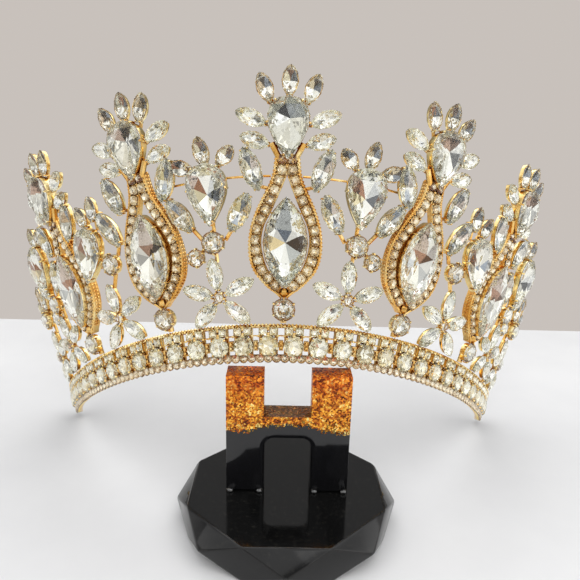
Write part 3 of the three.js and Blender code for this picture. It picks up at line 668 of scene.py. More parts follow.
def grown(carrier, tree, values):
    """The plain mesh that a tree makes of a carrier mesh."""
    holder = bpy.data.objects.new("carrier", carrier)
    modifier = holder.modifiers.new("grow", "NODES")
    modifier.node_group, sockets = tree
    for label, value in values.items():
        modifier[sockets[label]] = value
    mesh = plain_copy(holder)
    bpy.data.meshes.remove(carrier)
    return mesh


def set_on_seats(seats, patterns, front, back, seed=0):
    """seats: (pattern, matrix in millimetres, how much longer than its pattern)."""
    box, index = patterns
    carrier = bpy.data.meshes.new("seats")
    carrier.from_pydata([tuple(where.translation * MM) for _, where, _ in seats], [], [])
    for key, kind, field, values in (
        ("which", "INT", "value", [index[pattern] for pattern, _, _ in seats]),
        ("turn", "FLOAT_VECTOR", "vector", [a for _, where, _ in seats for a in where.to_euler()]),
        ("size", "FLOAT_VECTOR", "vector", [a for _, _, longer in seats for a in (1, longer, 1)]),
    ):
        carrier.attributes.new(key, kind, "POINT").data.foreach_set(field, values)
    return grown(carrier, SEAT_TREE, {"Patterns": box, "Front": front, "Back": back, "Seed": seed})


def along_paths(paths, tree, finish, values):
    points, edges = [], []
    for path in paths:
        edges += [(len(points) + i, len(points) + i + 1) for i in range(len(path) - 1)]
        points += [tuple(p * MM) for p in path]
    carrier = bpy.data.meshes.new("paths")
    carrier.from_pydata(points, edges, [])
    return grown(carrier, tree, {"Finish": finish, **values}), finish


def wires(paths, size, finish, sides=6):
    sizes = {"Radius": RADIUS[size] * MM, "Sides": sides, "Step": WIRE_STEP * MM}
    return along_paths(paths, WIRE_TREE, finish, sizes)


def beads(paths, sizes, finish):
    radius, spacing = sizes
    return along_paths(paths, BEAD_TREE, finish, {"Radius": radius * MM, "Step": spacing * MM})


def set_cups(seats, finish):
    return set_on_seats(seats, CUPS, finish, finish), finish


def piece(name, mesh, slot, *nodes):
    made = bpy.data.objects.new(name, mesh)
    mesh.name = name
    bpy.context.scene.collection.objects.link(made)
    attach(made, BODY)
    if nodes:
        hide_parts(*nodes)


def set_stones(name, seats, foil, seed, slot, node):
    """A piece of cut stones: glass in front, foil behind."""
    piece(name, set_on_seats(seats, STONES, GLASS, foil, seed), slot, node)


def smoothed(mesh, sharp):
    mesh.shade_smooth()
    mesh.set_sharp_from_angle(angle=sharp)
    return mesh


def metal_piece(name, parts, node):
    """Joins plain meshes into one piece; each comes with its own finish."""
    finishes = list(dict.fromkeys(finish for _, finish in parts))
    points, faces, kinds = [], [], []
    for mesh, finish in parts:
        first = len(points)
        points += [point.co[:] for point in mesh.vertices]
        faces += [[first + i for i in face.vertices] for face in mesh.polygons]
        kinds += [finishes.index(finish)] * len(mesh.polygons)
        bpy.data.meshes.remove(mesh)
    joined = bpy.data.meshes.new(name)
    joined.from_pydata(points, [], faces)
    for finish in finishes:
        joined.materials.append(finish)
    joined.polygons.foreach_set("material_index", kinds)
    joined.validate()
    piece(name, smoothed(joined, SHARP), "gold_plating", node)


# ---------------------------------------------------------------- finishes

MIDST = (0.3, 0.7)  # the range that a noise mostly keeps to
# Sizes in millimetres: the foil's cells, the glitter's flakes, and how far the gold's painted crevice shade
# reaches.
CELL, FLAKE, CREVICE_SHADE_REACH = 0.75, 0.42, 1.6
FOIL_TONES = [
    (0.0, (0.62, 0.64, 0.58)), (0.10, (0.89, 0.88, 0.75)), (0.25, (0.96, 0.96, 0.90)),
    (0.65, (0.98, 0.97, 0.87)), (1.0, (1.0, 1.0, 0.93)),
]
WARM_TONES = [
    (0.0, (0.50, 0.43, 0.27)), (0.15, (0.84, 0.73, 0.46)), (0.45, (0.96, 0.93, 0.76)),
    (1.0, (1.0, 1.0, 0.90)),
]
CHAMPAGNE_TONES = [
    (0.0, (0.48, 0.34, 0.18)), (0.25, (0.78, 0.64, 0.42)), (0.60, (0.95, 0.85, 0.62)),
    (1.0, (1.0, 0.95, 0.80)),
]
# Tones of the painted dark reflections on the foils: black, slate, blue, olive, rust and brown.
FOIL_PAINTED_REFLECTIONS = [
    (0.0, (0.025, 0.022, 0.018)), (0.2, (0.09, 0.10, 0.11)), (0.4, (0.28, 0.34, 0.42)),
    (0.6, (0.52, 0.42, 0.15)), (0.8, (0.36, 0.15, 0.06)), (1.0, (0.055, 0.035, 0.014)),
]
# The champagne foils' painted dark reflections.
CHAMPAGNE_PAINTED_REFLECTIONS = [(0.0, (0.07, 0.045, 0.02)), (0.5, (0.22, 0.15, 0.07)), (1.0, (0.36, 0.20, 0.10))]
# Painted reflection specks: finely broken facets darken some of their cells with these; most cells stay
# white.
CELL_REFLECTION_TONES = [
    (0.0, (0.13, 0.11, 0.08)), (0.045, (0.46, 0.42, 0.31)), (0.09, (0.80, 0.80, 0.78)),
    (0.17, (1.0, 1.0, 1.0)),
]
GLASS_TONES = [(0.0, (1.0, 1.0, 1.0)), (0.7, (0.98, 0.99, 1.0)), (1.0, (1.0, 0.97, 0.93))]
FLAKE_TONES = [
    (0.0, (0.10, 0.018, 0.002)), (0.28, (0.42, 0.09, 0.006)), (0.55, (0.86, 0.31, 0.022)),
    (0.80, (1.0, 0.56, 0.08)), (1.0, (1.0, 0.86, 0.40)),
]
# Painted shade on the glitter: its colour is multiplied by these tones by height, darker a little below the
# top of the upright.
LEVEL_SHADE_TONES = [  # from the arch up to the top
    (0.0, (1.0, 0.98, 0.80)), (0.55, (1.0, 0.92, 0.75)), (0.76, (0.85, 0.60, 0.40)),
    (0.88, (0.78, 0.44, 0.25)), (0.96, (1.0, 0.72, 0.45)),
]
UNDER_FLAKES, SILL_TONE, UPWARD_TONE = (0.004, 0.004, 0.005), (0.11, 0.08, 0.045), (0.85, 0.66, 0.50)
DUST_TONES = [(0.55, (0.004, 0.004, 0.004)), (0.78, (0.020, 0.019, 0.016))]
TABLE_TONES = [(0.3, (0.72, 0.72, 0.72)), (0.7, (0.78, 0.78, 0.775))]
# The glitter's edge, in millimetres above the base: a hill over the arch, made ragged by flakes and clouds.
HILL = {"top": 17.4, "foot": 15.5, "inner": 4, "outer": 10, "flakes": 1.3, "clouds": 2.4}
# Height above the base where the painted shade by height begins, and the sill's margin, in millimetres.
LEVEL_SHADE_FROM, SILL_MARGIN = 16, 2


class Finish(Tree):
    """A material in the making: its tree, its shader, and where each point lies."""

    def __init__(self, name):
        self.material = bpy.data.materials.new(name)
        self.material.use_nodes = True
        super().__init__(self.material.node_tree)
        self.shader = self.tree.nodes["Principled BSDF"]
        self.where = self.get("ShaderNodeTexCoord", output="Object")

    def noise(self, size, detail=3.0, rough=0.55):
        """Noise with features about this many millimetres across."""
        links = {"Vector": self.where, "Scale": 1 / (size * MM), "Detail": detail, "Roughness": rough}
        return self.get("ShaderNodeTexNoise", links)

    def varied(self, low, high, *noise, middle=MIDST):
        """A value that wanders between low and high with a noise."""
        return self.span(self.noise(*noise), low, high, *middle)

    def cells(self, size):
        """Cells about this many millimetres across, with a random colour each."""
        links = {"Vector": self.where, "Scale": 1 / (size * MM)}
        return self.node("ShaderNodeTexVoronoi", links, feature="F1").outputs

    def mark(self, name):
        """A mark that the mesh carries on its faces."""
        return self.get("ShaderNodeAttribute", output="Fac", attribute_name=name)

    def part(self, vector, letter):
        return self.get("ShaderNodeSeparateXYZ", {"Vector": vector}, letter)

    def bump(self, height, strength, depth):
        return self.get("ShaderNodeBump", {"Height": height, "Strength": strength, "Distance": depth * MM})

    def tilted(self, colour, amount):
        """The normal, leant a little this way or that by a random colour."""
        lean = self.get("ShaderNodeVectorMath", {0: colour, 1: (0.5, 0.5, 0.5)}, operation="SUBTRACT")
        lean = self.get("ShaderNodeVectorMath", {0: lean, "Scale": amount}, operation="SCALE")
        straight = self.get("ShaderNodeNewGeometry", output="Normal")
        leant = self.get("ShaderNodeVectorMath", {0: straight, 1: lean}, operation="ADD")
        return self.get("ShaderNodeVectorMath", {0: leant}, operation="NORMALIZE")

    def done(self, links):
        self.feed(self.shader, links)
        return self.material


def gold_finish(name, tones, crevice_shade, roughness, grain_size, grain_depth):
    """Plated metal with painted shade: its colour darkens in its crevices."""
    hand = Finish(name)
    tone = hand.ramp(hand.noise(5.0, 5, 0.65), list(zip((0.34, 0.50, 0.66), tones)))
    # painted shade: the occlusion node darkens the colour towards the crevice colour near other metal
    unshaded = hand.get("ShaderNodeAmbientOcclusion", {"Distance": CREVICE_SHADE_REACH * MM}, "AO", samples=4)
    return hand.done({
        "Base Color": hand.blend("MIX", hand.span(unshaded, 0.05, 1.0, 0.2, 0.8), crevice_shade, tone),
        "Metallic": 1.0, "Roughness": hand.varied(*roughness, 0.9, 4),
        "Normal": hand.bump(hand.noise(grain_size, 3), 0.35, grain_depth),
    })


def foil_finish(name, tones, painted_reflections):
    """The mirrored back of a stone: every facet has a tone of its own, and every stone its own luck."""
    hand = Finish(name)
    shade, luck, painted_reflection, fine = (hand.mark(mark) for mark in ("shade", "luck", "painted_reflection", "fine"))
    pair = hand.get("ShaderNodeCombineXYZ", {"X": shade, "Y": luck})
    mixed = hand.get("ShaderNodeTexWhiteNoise", {"Vector": pair}, "Value", noise_dimensions="2D")
    pale = hand.ramp(mixed, tones)
    # painted dark reflection: a marked facet takes a dark tone from the scale, standing in for darker parts
    # of the room seen in it
    turned = hand.maths("ADD", shade, hand.span(luck, -0.12, 0.12), clamp=True)
    facet = hand.blend("MIX", painted_reflection, pale, hand.ramp(turned, painted_reflections))
    # painted reflection specks on finely broken facets, whose cells also lean the normal
    cells = hand.cells(CELL)["Color"]
    dice = hand.get("ShaderNodeSeparateColor", {"Color": cells}, "Red")
    return hand.done({
        "Base Color": hand.blend("MULTIPLY", fine, facet, hand.ramp(dice, CELL_REFLECTION_TONES, "CONSTANT")),
        "Metallic": 1.0, "Roughness": hand.varied(0.03, 0.09, 1.5),
        "Normal": hand.tilted(cells, hand.times(fine, 0.5)),
    })


def crystal_finish(name, bending):
    hand = Finish(name)
    return hand.done({
        "Base Color": hand.ramp(hand.mark("luck"), GLASS_TONES), "Transmission Weight": 1.0, "IOR": bending,
        "Roughness": hand.varied(0.0, 0.02, 2.0, middle=(0.4, 0.7)),
    })


def black_finish():
    hand = Finish("black_resin")
    return hand.done({
        "Base Color": hand.ramp(hand.noise(1.2, 5, 0.7), DUST_TONES), "Specular IOR Level": 0.43,
        "Roughness": hand.varied(0.03, 0.14, 9.0, 5), "Normal": hand.bump(hand.noise(14.0, 2), 0.10, 0.4),
    })


def glitter_finish():
    """Clear resin full of gold flakes over black resin, with a ragged edge that rises over the arch."""
    hand = Finish("glitter_resin")
    flakes = hand.cells(FLAKE)
    dice = hand.node("ShaderNodeSeparateColor", {"Color": flakes["Color"]}).outputs
    high, across = (hand.part(flakes["Position"], letter) for letter in "ZX")
    aside = hand.maths("ABSOLUTE", across)
    hill = hand.span(aside, HILL["top"] * MM, HILL["foot"] * MM, HILL["inner"] * MM, HILL["outer"] * MM)
    edge = hand.maths("ADD", hill, BASE["thickness"] * MM)
    edge = hand.maths("ADD", edge, hand.times(dice["Blue"], HILL["flakes"] * MM))
    edge = hand.maths("ADD", edge, hand.times(hand.noise(2.2, 2), HILL["clouds"] * MM))
    is_flake = hand.maths("GREATER_THAN", high, edge)
    ups = (LEVEL_SHADE_FROM, UPRIGHT["height"], UPRIGHT["sill"] + SILL_MARGIN)
    lowest, top, sill = ((BASE["thickness"] + up) * MM for up in ups)
    tone = hand.maths("ADD", hand.times(dice["Red"], 0.72), hand.varied(-0.12, 0.40, 2.0, 3), clamp=True)
    # painted shade: darker a little below the top of the upright
    level = hand.ramp(hand.span(high, 0.0, 1.0, lowest, top), LEVEL_SHADE_TONES)
    facing = hand.part(hand.get("ShaderNodeTexCoord", output="Normal"), "Z")
    upward = hand.span(facing, 0.0, 1.0, 0.6, 0.9)
    on_sill = hand.times(upward, hand.maths("LESS_THAN", high, sill))
    lit = hand.blend("MULTIPLY", 1.0, hand.ramp(tone, FLAKE_TONES), level)
    lit = hand.blend("MIX", hand.times(on_sill, 0.82), lit, SILL_TONE)
    lit = hand.blend("MULTIPLY", upward, lit, UPWARD_TONE)
    rough = {"Factor": is_flake, "A": 0.12, "B": hand.span(dice["Green"], 0.18, 0.5)}
    return hand.done({
        "Base Color": hand.blend("MIX", is_flake, UNDER_FLAKES, lit), "Metallic": hand.times(is_flake, 0.75),
        "Roughness": hand.get("ShaderNodeMix", rough),
        "Normal": hand.tilted(flakes["Color"], hand.times(is_flake, 1.1)),
        "Coat Weight": 0.2, "Coat Roughness": 0.03,
        "Coat Normal": hand.get("ShaderNodeNewGeometry", output="Normal"),
    })


def table_finish():
    hand = Finish("table_top")
    cloud = hand.noise(60.0, 5, 0.6)
    return hand.done({
        "Base Color": hand.ramp(cloud, TABLE_TONES), "Roughness": hand.span(cloud, 0.42, 0.55, *MIDST),
        "Normal": hand.bump(hand.noise(1.0, 4), 0.05, 0.1),
    })


# Each plating: its tones, the colour of its painted crevice shade, its roughness range, and its grain's size
# and depth.
GOLDS = {
    "gold_plating": (
        [(0.76, 0.38, 0.07), (0.95, 0.60, 0.19), (1.0, 0.82, 0.42)],
        (0.34, 0.14, 0.035), (0.10, 0.34), 0.8, 0.14,
    ),
    "pale_gold": (
        [(0.90, 0.57, 0.19), (1.0, 0.77, 0.33), (1.0, 0.88, 0.50)],
        (0.50, 0.26, 0.09), (0.08, 0.26), 0.5, 0.05,
    ),
    "satin_gold": (
        [(0.86, 0.44, 0.10), (0.98, 0.60, 0.19), (1.0, 0.76, 0.34)],
        (0.72, 0.35, 0.09), (0.24, 0.42), 0.8, 0.12,
    ),
    "brown_gold": (
        [(0.46, 0.21, 0.05), (0.62, 0.33, 0.10), (0.76, 0.46, 0.17)],
        (0.42, 0.21, 0.07), (0.3, 0.5), 0.6, 0.1,
    ),
}
GOLD, PALE_GOLD, SATIN_GOLD, BROWN_GOLD = (gold_finish(name, *plating) for name, plating in GOLDS.items())
GLASS, GLUE = crystal_finish("crystal_glass", 1.56), crystal_finish("clear_glue", 2.1)
FOIL = foil_finish("crystal_foil", FOIL_TONES, FOIL_PAINTED_REFLECTIONS)
WARM_FOIL = foil_finish("warm_foil", WARM_TONES, FOIL_PAINTED_REFLECTIONS)
CHAMPAGNE = foil_finish("champagne_foil", CHAMPAGNE_TONES, CHAMPAGNE_PAINTED_REFLECTIONS)
BLACK_RESIN, GLITTER, TABLE = black_finish(), glitter_finish(), table_finish()

# ---------------------------------------------------------------- ornaments


def long_seat(pattern, centre, row, side=1):
    """A long stone between two points, a little longer than the room between its claws."""
    seat, length = seat_between(centre, row, side)
    return pattern, seat, 1.07 * length / SIZES[pattern][1]


def smooth_rows(rows, step=1.0):
    """The loop's half widths at close heights, on a smooth curve through its rows."""
    ups = [row[0] for row in rows]
    found = []
    for up in np.arange(ups[0], ups[-1] + 1e-6, step):
        i = min(max(int(np.searchsorted(ups, up, side="right")) - 1, 0), len(rows) - 2)
        t = (up - ups[i]) / (ups[i + 1] - ups[i])
        values = []
        for column in (1, 2):
            a, b, c, d = (rows[min(max(i + k, 0), len(rows) - 1)][column] for k in (-1, 0, 1, 2))
            bend, twist = 2 * a - 5 * b + 4 * c - d, 3 * b - a - 3 * c + d
            values.append(0.5 * (2 * b + (c - a) * t + bend * t**2 + twist * t**3))
        found.append((float(up), values[0], max(values[1], 0.0)))
    return found


LOOP = smooth_rows(LOOP_ROWS)


def loop_plate(centre, back, face, inset):
    """A flat strip between the loop's outside and its opening."""
    points, index, faces = [], {}, []

    def corner(i, edge, side, level):
        up, outer, inner = LOOP[i]
        across = side * (max(outer - inset, 0) if edge else inner + (inset if inner else 0))
        key = (i, round(across, 5), level)
        if key not in index:
            index[key] = len(points)
            points.append(ornament_point(centre, across, up, level))
        return index[key]

    for i in range(len(LOOP) - 1):
        j = i + 1
        for side in SIDES:
            walls = [((i, 0, level), (i, 1, level), (j, 1, level), (j, 0, level)) for level in (back, face)]
            walls.append(((i, 1, back), (j, 1, back), (j, 1, face), (i, 1, face)))
            if LOOP[i][2] > 0 or LOOP[j][2] > 0:
                walls.append(((i, 0, back), (i, 0, face), (j, 0, face), (j, 0, back)))
            faces += [[corner(row, edge, side, level) for row, edge, level in wall] for wall in walls]
    ends = ((-1, back), (1, back), (1, face), (-1, face))
    for i in (0, len(LOOP) - 1):
        faces.append([corner(i, 1, side, level) for side, level in ends])
    draft = Draft()
    draft.add(points, [tuple(dict.fromkeys(face)) for face in faces if len(set(face)) > 2])
    return drafted(draft)


def loop_edges(centre):
    """Paths of the wire and the beads on the loop's outer edge, and of the wire round its opening."""
    low, high, gap, least, inner_out = OPENING_WIRE.values()
    inset, out = EDGE_WIRE
    outside, beaded, inside = [], [], []
    for side in SIDES:
        outside.append([ornament_point(centre, side * (outer - inset), up, out) for up, outer, _ in LOOP])
        rows = [(side * max(inner + gap, least), up) for up, _, inner in LOOP if low < up < high]
        inside.append([ornament_point(centre, across, up, inner_out) for across, up in rows])
        for bead_inset, bead_out in EDGE_BEADS:
            rows = [(side * (outer - bead_inset), up) for up, outer, _ in LOOP if up > EDGE_BEADS_LOW]
            beaded.append([ornament_point(centre, across, up, bead_out) for across, up in rows])
    return outside, beaded, inside


def loop_stones(centre):
    """Seats of the small stones along both sides of the loop, and of the prongs between them."""
    low, high, inset, least, pitch, stone_out, prong_out = LOOP_TRACK.values()
    stones, prongs = [], []
    track = [(max(inner + inset, least), up) for up, _, inner in LOOP if low < up < high]
    lengths = [0.0]
    for a, b in zip(track, track[1:]):
        lengths.append(lengths[-1] + math.dist(a, b))

    def spot(at):
        return [float(np.interp(at, lengths, [place[i] for place in track])) for i in (0, 1)]

    count = int(lengths[-1] / pitch) + 1
    half_step = lengths[-1] / (count - 1) / 2
    for side in SIDES:
        for k in range(2 * count - 1):
            across, up = spot(k * half_step)
            ahead, behind = spot((k + 0.3) * half_step), spot((k - 0.3) * half_step)
            turn = -math.atan2(side * (ahead[0] - behind[0]), ahead[1] - behind[1])
            if k % 2:
                prongs.append(("prongs", seat_at(centre, side * across, up, turn, prong_out), 1))
            else:
                stones.append(("chaton", seat_at(centre, side * across, up, turn, stone_out), 1))
    return stones, prongs


def bar_path(centre, row, side=1, out=-0.45):
    return [ornament_point(centre, side * across, up, out) for across, up in (row[:2], row[2:])]


def leaf_rows(rows):
    """(row, side) for each leaf: one on the middle line, the others in pairs."""
    return [(row, side) for row in rows for side in ((1,) if abs(row[0]) < 1 else SIDES)]


def leaf_stem(centre, row, side, reach=2.4, overlap=1.5):
    """A wire from below a leaf's foot to under its stone."""
    across, up, to_across, to_up = row
    length = math.hypot(to_across - across, to_up - up)
    run, rise = (to_across - across) / length, (to_up - up) / length
    stem = (across - run * reach, up - rise * reach, across + run * overlap, up + rise * overlap)
    return bar_path(centre, stem, side)


def big_seats(centre, table):
    return {key: (pattern, seat_at(centre, 0, up), 1) for key, (pattern, up) in table.items()}


def set_big(place, big, seed):
    """A piece for each big stone. On the outer ornaments some carry their painted dark reflections in
    another way.
    """
    for key, (pattern, where, longer) in big.items():
        if place != "centre" and f"outer_{pattern}" in STONES[1]:
            pattern = f"outer_{pattern}"
        set_stones(f"cut_{key}_{place}", [(pattern, where, longer)], FOIL, seed, "crystal", f"{key}_{place}")


def main_ornament(place, centre, seed):
    node = f"main_ornament_{place}"
    leaves = [long_seat("leaf", centre, row, side) for row, side in leaf_rows(TOP_LEAVES)]
    leaves += [long_seat("petal", centre, row, side) for row, side in leaf_rows(TOP_PETALS)]
    links = [long_seat("link", centre, UPPER_LINK, side) for side in SIDES]
    big = big_seats(centre, MAIN_BIG)
    outside, beaded, inside = loop_edges(centre)
    stems = [leaf_stem(centre, row, side) for row, side in leaf_rows(TOP_LEAVES + TOP_PETALS)]
    ties = [bar_path(centre, TIE, side) for side in SIDES]
    collar = [bar_path(centre, COLLAR, side, 0.9) for side in SIDES]
    knobs = balls([(ornament_point(centre, 0, up, 0.7), radius) for up, radius in KNOBS])
    stones, prongs = loop_stones(centre)
    metal_piece(f"main_{place}_metal", [
        set_cups(leaves + links + list(big.values()), PALE_GOLD), set_cups(prongs, GOLD),
        (loop_plate(centre, *LOOP_PLATE), SATIN_GOLD), (loop_plate(centre, *LOOP_INLAY), BROWN_GOLD),
        (drafted(knobs), GOLD), wires(outside, "edge", GOLD, 8), wires(inside, "opening", PALE_GOLD),
        wires(stems + ties, "stem", GOLD), wires([bar_path(centre, FOOT)] + collar, "foot", GOLD, 8),
        beads(beaded, SMALL_BEADS, GOLD),
    ], node)
    set_stones(f"main_{place}_leaf_stones", leaves, FOIL, seed, "small_crystal", node)
    set_stones(f"main_{place}_loop_stones", stones, CHAMPAGNE, seed + 1, "small_crystal", node)
    set_big(place, big, seed + 2)
    for word, seat in zip("ab", links):
        end = f"{place}_{word}"
        set_stones(f"cut_link_{end}", [seat], FOIL, seed + ord(word), "crystal", f"link_navette_{end}")


def flower(centre):
    """Five petals round a heart."""
    inner, outer, up = FLOWER["inner"], FLOWER["outer"], FLOWER["up"]
    seats = []
    for degrees in FLOWER["turns"]:
        cos, sin = math.cos(math.radians(degrees)), math.sin(math.radians(degrees))
        row = (inner * cos, up + inner * sin, outer * cos, up + outer * sin)
        seats.append(long_seat("petal", centre, row))
    return seats + [("heart", seat_at(centre, 0, up, 0, 0.45), 1)]


def wall_wire(centre, side):
    """The thin wire behind the link stones, out to the next main ornament."""
    up, out, start, steps = (WALL_WIRE[key] for key in ("up", "out", "start", "steps"))
    run = (PITCH / 2) * stretch(0, up) - WALL_WIRE["room"] - start
    return [ornament_point(centre, side * (start + run * k / steps), up, out) for k in range(steps + 1)]


def lowered_link(centre, row, side, depth=0.8):
    pattern, where, longer = long_seat("link", centre, row, side)
    return pattern, where @ Matrix.Translation((0, 0, -depth)), longer


def small_ornament(name, node, place, small, big, bars, seed):
    """A side ornament or end spray. small and big are the seats of its stones, bars its wires."""
    metal = [set_cups(small + list(big.values()), PALE_GOLD)]
    metal_piece(f"{name}_metal", metal + [wires(paths, size, GOLD) for paths, size in bars], node)
    set_stones(f"{name}_small_stones", small, FOIL, seed, "small_crystal", node)
    set_big(place, big, seed + 1)


def side_ornament(place, centre, side, wire_sides, seed):
    small = [long_seat("leaf", centre, row, side) for row in SIDE_LEAVES] + flower(centre)
    small += [lowered_link(centre, INNER_LINK, -side), lowered_link(centre, OUTER_LINK, side)]
    small.append(("small_round", seat_at(centre, side * SIDE_DROP["across"], SIDE_DROP["up"]), 1))
    stems = [leaf_stem(centre, row, side) for row in SIDE_LEAVES]
    stems += [bar_path(centre, LINK_ARM, hand) for hand in SIDES] + [bar_path(centre, DROP_ARM, side)]
    stems += [bar_path(centre, row) for row in STALKS]
    bars = [(stems, "small_stem"), ([wall_wire(centre, hand) for hand in wire_sides], "wall")]
    big = big_seats(centre, SIDE_BIG)
    small_ornament(f"side_{place}", f"side_ornament_{place}", place, small, big, bars, seed)


def low_side_ornament(place, centre, side, seed):
    """The second side ornament: its pear hangs beside the round, with the tip turned outwards."""
    small = [long_seat("leaf", centre, row, side) for row in LOW_LEAVES] + flower(centre)
    small.append(lowered_link(centre, LOW_LINK, side))
    turn = side * math.radians(LOW_PEAR["turn"])
    big = {
        "side_pear": ("side_pear", seat_at(centre, side * LOW_PEAR["across"], LOW_PEAR["up"], turn), 1),
        "link_round": ("round", seat_at(centre, side * LOW_ROUND["across"], LOW_ROUND["up"]), 1),
    }
    stems = [leaf_stem(centre, row, side) for row in LOW_LEAVES]
    stems += [bar_path(centre, arm, side) for arm in LOW_ARMS]
    bars = [(stems, "small_stem")]
    small_ornament(f"side_{place}", f"side_ornament_{place}", place, small, big, bars, seed)


def end_spray(place, centre, seed):
    leaves = leaf_rows(SPRAY_LEAVES)
    small = [long_seat("leaf", centre, row, side) for row, side in leaves] + flower(centre)
    stems = [leaf_stem(centre, row, side) for row, side in leaves] + [bar_path(centre, STALKS[0])]
    big = big_seats(centre, {"end_round": ("round", SPRAY_ROUND_UP)})
    small_ornament(f"end_{place}", f"end_spray_{place}", place, small, big, [(stems, "small_stem")], seed)


# ---------------------------------------------------------------- band


def band_line(up, out, count=int(2 * END_ALONG)):
    return [wall_point(-END_ALONG + 2 * END_ALONG * k / count, up, out) for k in range(count + 1)]


def band_strip(low, high, back, face):
    """A flat rail of the band with eased edges."""
    ease = 0.18
    section = [
        (low, back + ease), (low + ease, back), (high - ease, back), (high, back + ease),
        (high, face - ease), (high - ease, face), (low + ease, face), (low, face - ease),
    ]
    return shell(list(zip(*[band_line(up, out, 120) for up, out in section])))


def post(along, low, high, half_width, back, face):
    """An upright bar of the band."""
    corners = ((-half_width, back), (half_width, back), (half_width, face), (-half_width, face))
    steps = 3
    levels = [low + (high - low) * k / steps for k in range(steps + 1)]
    return shell([[wall_point(along + across, up, out) for across, out in corners] for up in levels])


def band():
    first = -(BAND_STONES - 1) / 2 * STONE_PITCH
    centres = [first + k * STONE_PITCH for k in range(BAND_STONES)]
    between = [along + STONE_PITCH / 2 for along in centres[:-1]]
    rounds = [("band_round", seat_at(along, 0, STONE_UP), 1) for along in centres]
    squares, tiny, pitch = [], [], STONE_PITCH / TINY_EACH
    for along in centres:
        for side in SIDES:
            spot = along + side * SQUARE_SEAT["aside"]
            squares.append(("square", seat_at(spot, 0, SQUARE_SEAT["up"], 0, SQUARE_SEAT["out"]), 1))
    for k in range(BAND_STONES * TINY_EACH):
        spot = first - STONE_PITCH / 2 + (k + 0.5) * pitch
        tiny.append(("tiny", seat_at(spot, 0, TINY_SEAT["up"], 0, TINY_SEAT["out"]), 1))
    posts = [post(along + side * POST_ASIDE, *POST) for along in centres for side in SIDES]
    drops = [wall_point(along, up, out) for along in centres for up, out in UPPER_DROPS]
    drops += [wall_point(along, up, out) for along in between for up, out in LOWER_DROPS]
    drops = drafted(balls([(spot, DROP_RADIUS) for spot in drops]))
    solids = posts + [post(along, *BAR) for along in between] + [band_strip(*rail) for rail in RAILS]
    metal_piece("band_metal", [(mesh, GOLD) for mesh in solids] + [
        beads([band_line(*RIM_LINE)], RIM_BEADS, PALE_GOLD), set_cups(rounds + squares + tiny, PALE_GOLD),
        wires([band_line(*WIRE_LINE)], "band", GOLD), (drops, GOLD),
        beads([band_line(*FINE_LINE)], FINE_BEADS, PALE_GOLD),
    ], "band")
    set_stones("band_round_stones", rounds, WARM_FOIL, BAND_SEED, "crystal", "band")
    set_stones("band_square_stones", squares, WARM_FOIL, BAND_SEED + 1, "small_crystal", "band")
    set_stones("band_lower_stones", tiny, CHAMPAGNE, BAND_SEED + 2, "small_crystal", "band")


# ---------------------------------------------------------------- stand


def resin_piece(name, mesh, finish, slot, sharp, *nodes):
    mesh.materials.append(finish)
    piece(name, smoothed(mesh, math.radians(sharp)), slot, *nodes)


def eased(mesh, width, angle):
    """Rounds the sharp edges of a closed mesh a little."""
    holder = bpy.data.objects.new("carrier", mesh)
    bevel = holder.modifiers.new("ease", "BEVEL")
    bevel.width, bevel.segments, bevel.limit_method = width * MM, 3, "ANGLE"
    bevel.angle_limit = math.radians(angle)
    bevel.harden_normals = True
    return plain_copy(holder)


def stand_base():
    n = BASE["sides"]
    draft = Draft()
    points = []
    for radius, level, turn in (
        (BASE["top_radius"], 0, 0.5), (BASE["girdle_radius"], BASE["girdle_height"], 0),
        (BASE["top_radius"], BASE["thickness"], 0.5),
    ):
        points += [(radius * cos, radius * sin, level) for cos, sin in circle(n, turn)]
    faces = [tuple(reversed(range(n))), tuple(range(2 * n, 3 * n))]
    for i in range(n):
        j = (i + 1) % n
        faces += [(i, n + j, n + i), (i, j, n + j), (2 * n + i, n + i, n + j), (2 * n + i, n + j, 2 * n + j)]
    draft.add(points, faces)
    base = eased(drafted(draft), 0.45, 12)
    resin_piece("display_base", base, BLACK_RESIN, "black_resin", 14, "stand_base")


def upright_outline():
    """The upright's outline, and for each point the way its edge is rounded back: only round the arch."""
    u = UPRIGHT
    plain, steps = Vector((0, 0)), 6
    points = [(Vector((-u["half_width"], u["foot"])), plain)]
    points.append((Vector((-u["leg_gap"], u["foot"])), Vector((-1, 0))))
    for side in SIDES:
        for k in range(steps + 1):
            angle = math.pi / 2 + (math.pi / 2 * (1 - k / steps) if side < 0 else -math.pi / 2 * k / steps)
            away = Vector((math.cos(angle), math.sin(angle)))
            centre = Vector((side * (u["leg_gap"] - u["corner"]), u["arch"] - u["corner"]))
            points.append((centre + away * u["corner"], away))
    points.append((Vector((u["leg_gap"], u["foot"])), Vector((1, 0))))
    rest = [
        (u["half_width"], u["foot"]), (u["half_width"], u["height"]), (u["gap_right"], u["height"]),
        (u["gap_right"], u["sill"]), (u["gap_left"], u["sill"]), (u["gap_left"], u["height"]),
        (-u["half_width"], u["height"]),
    ]
    return points + [(Vector(point), plain) for point in rest]


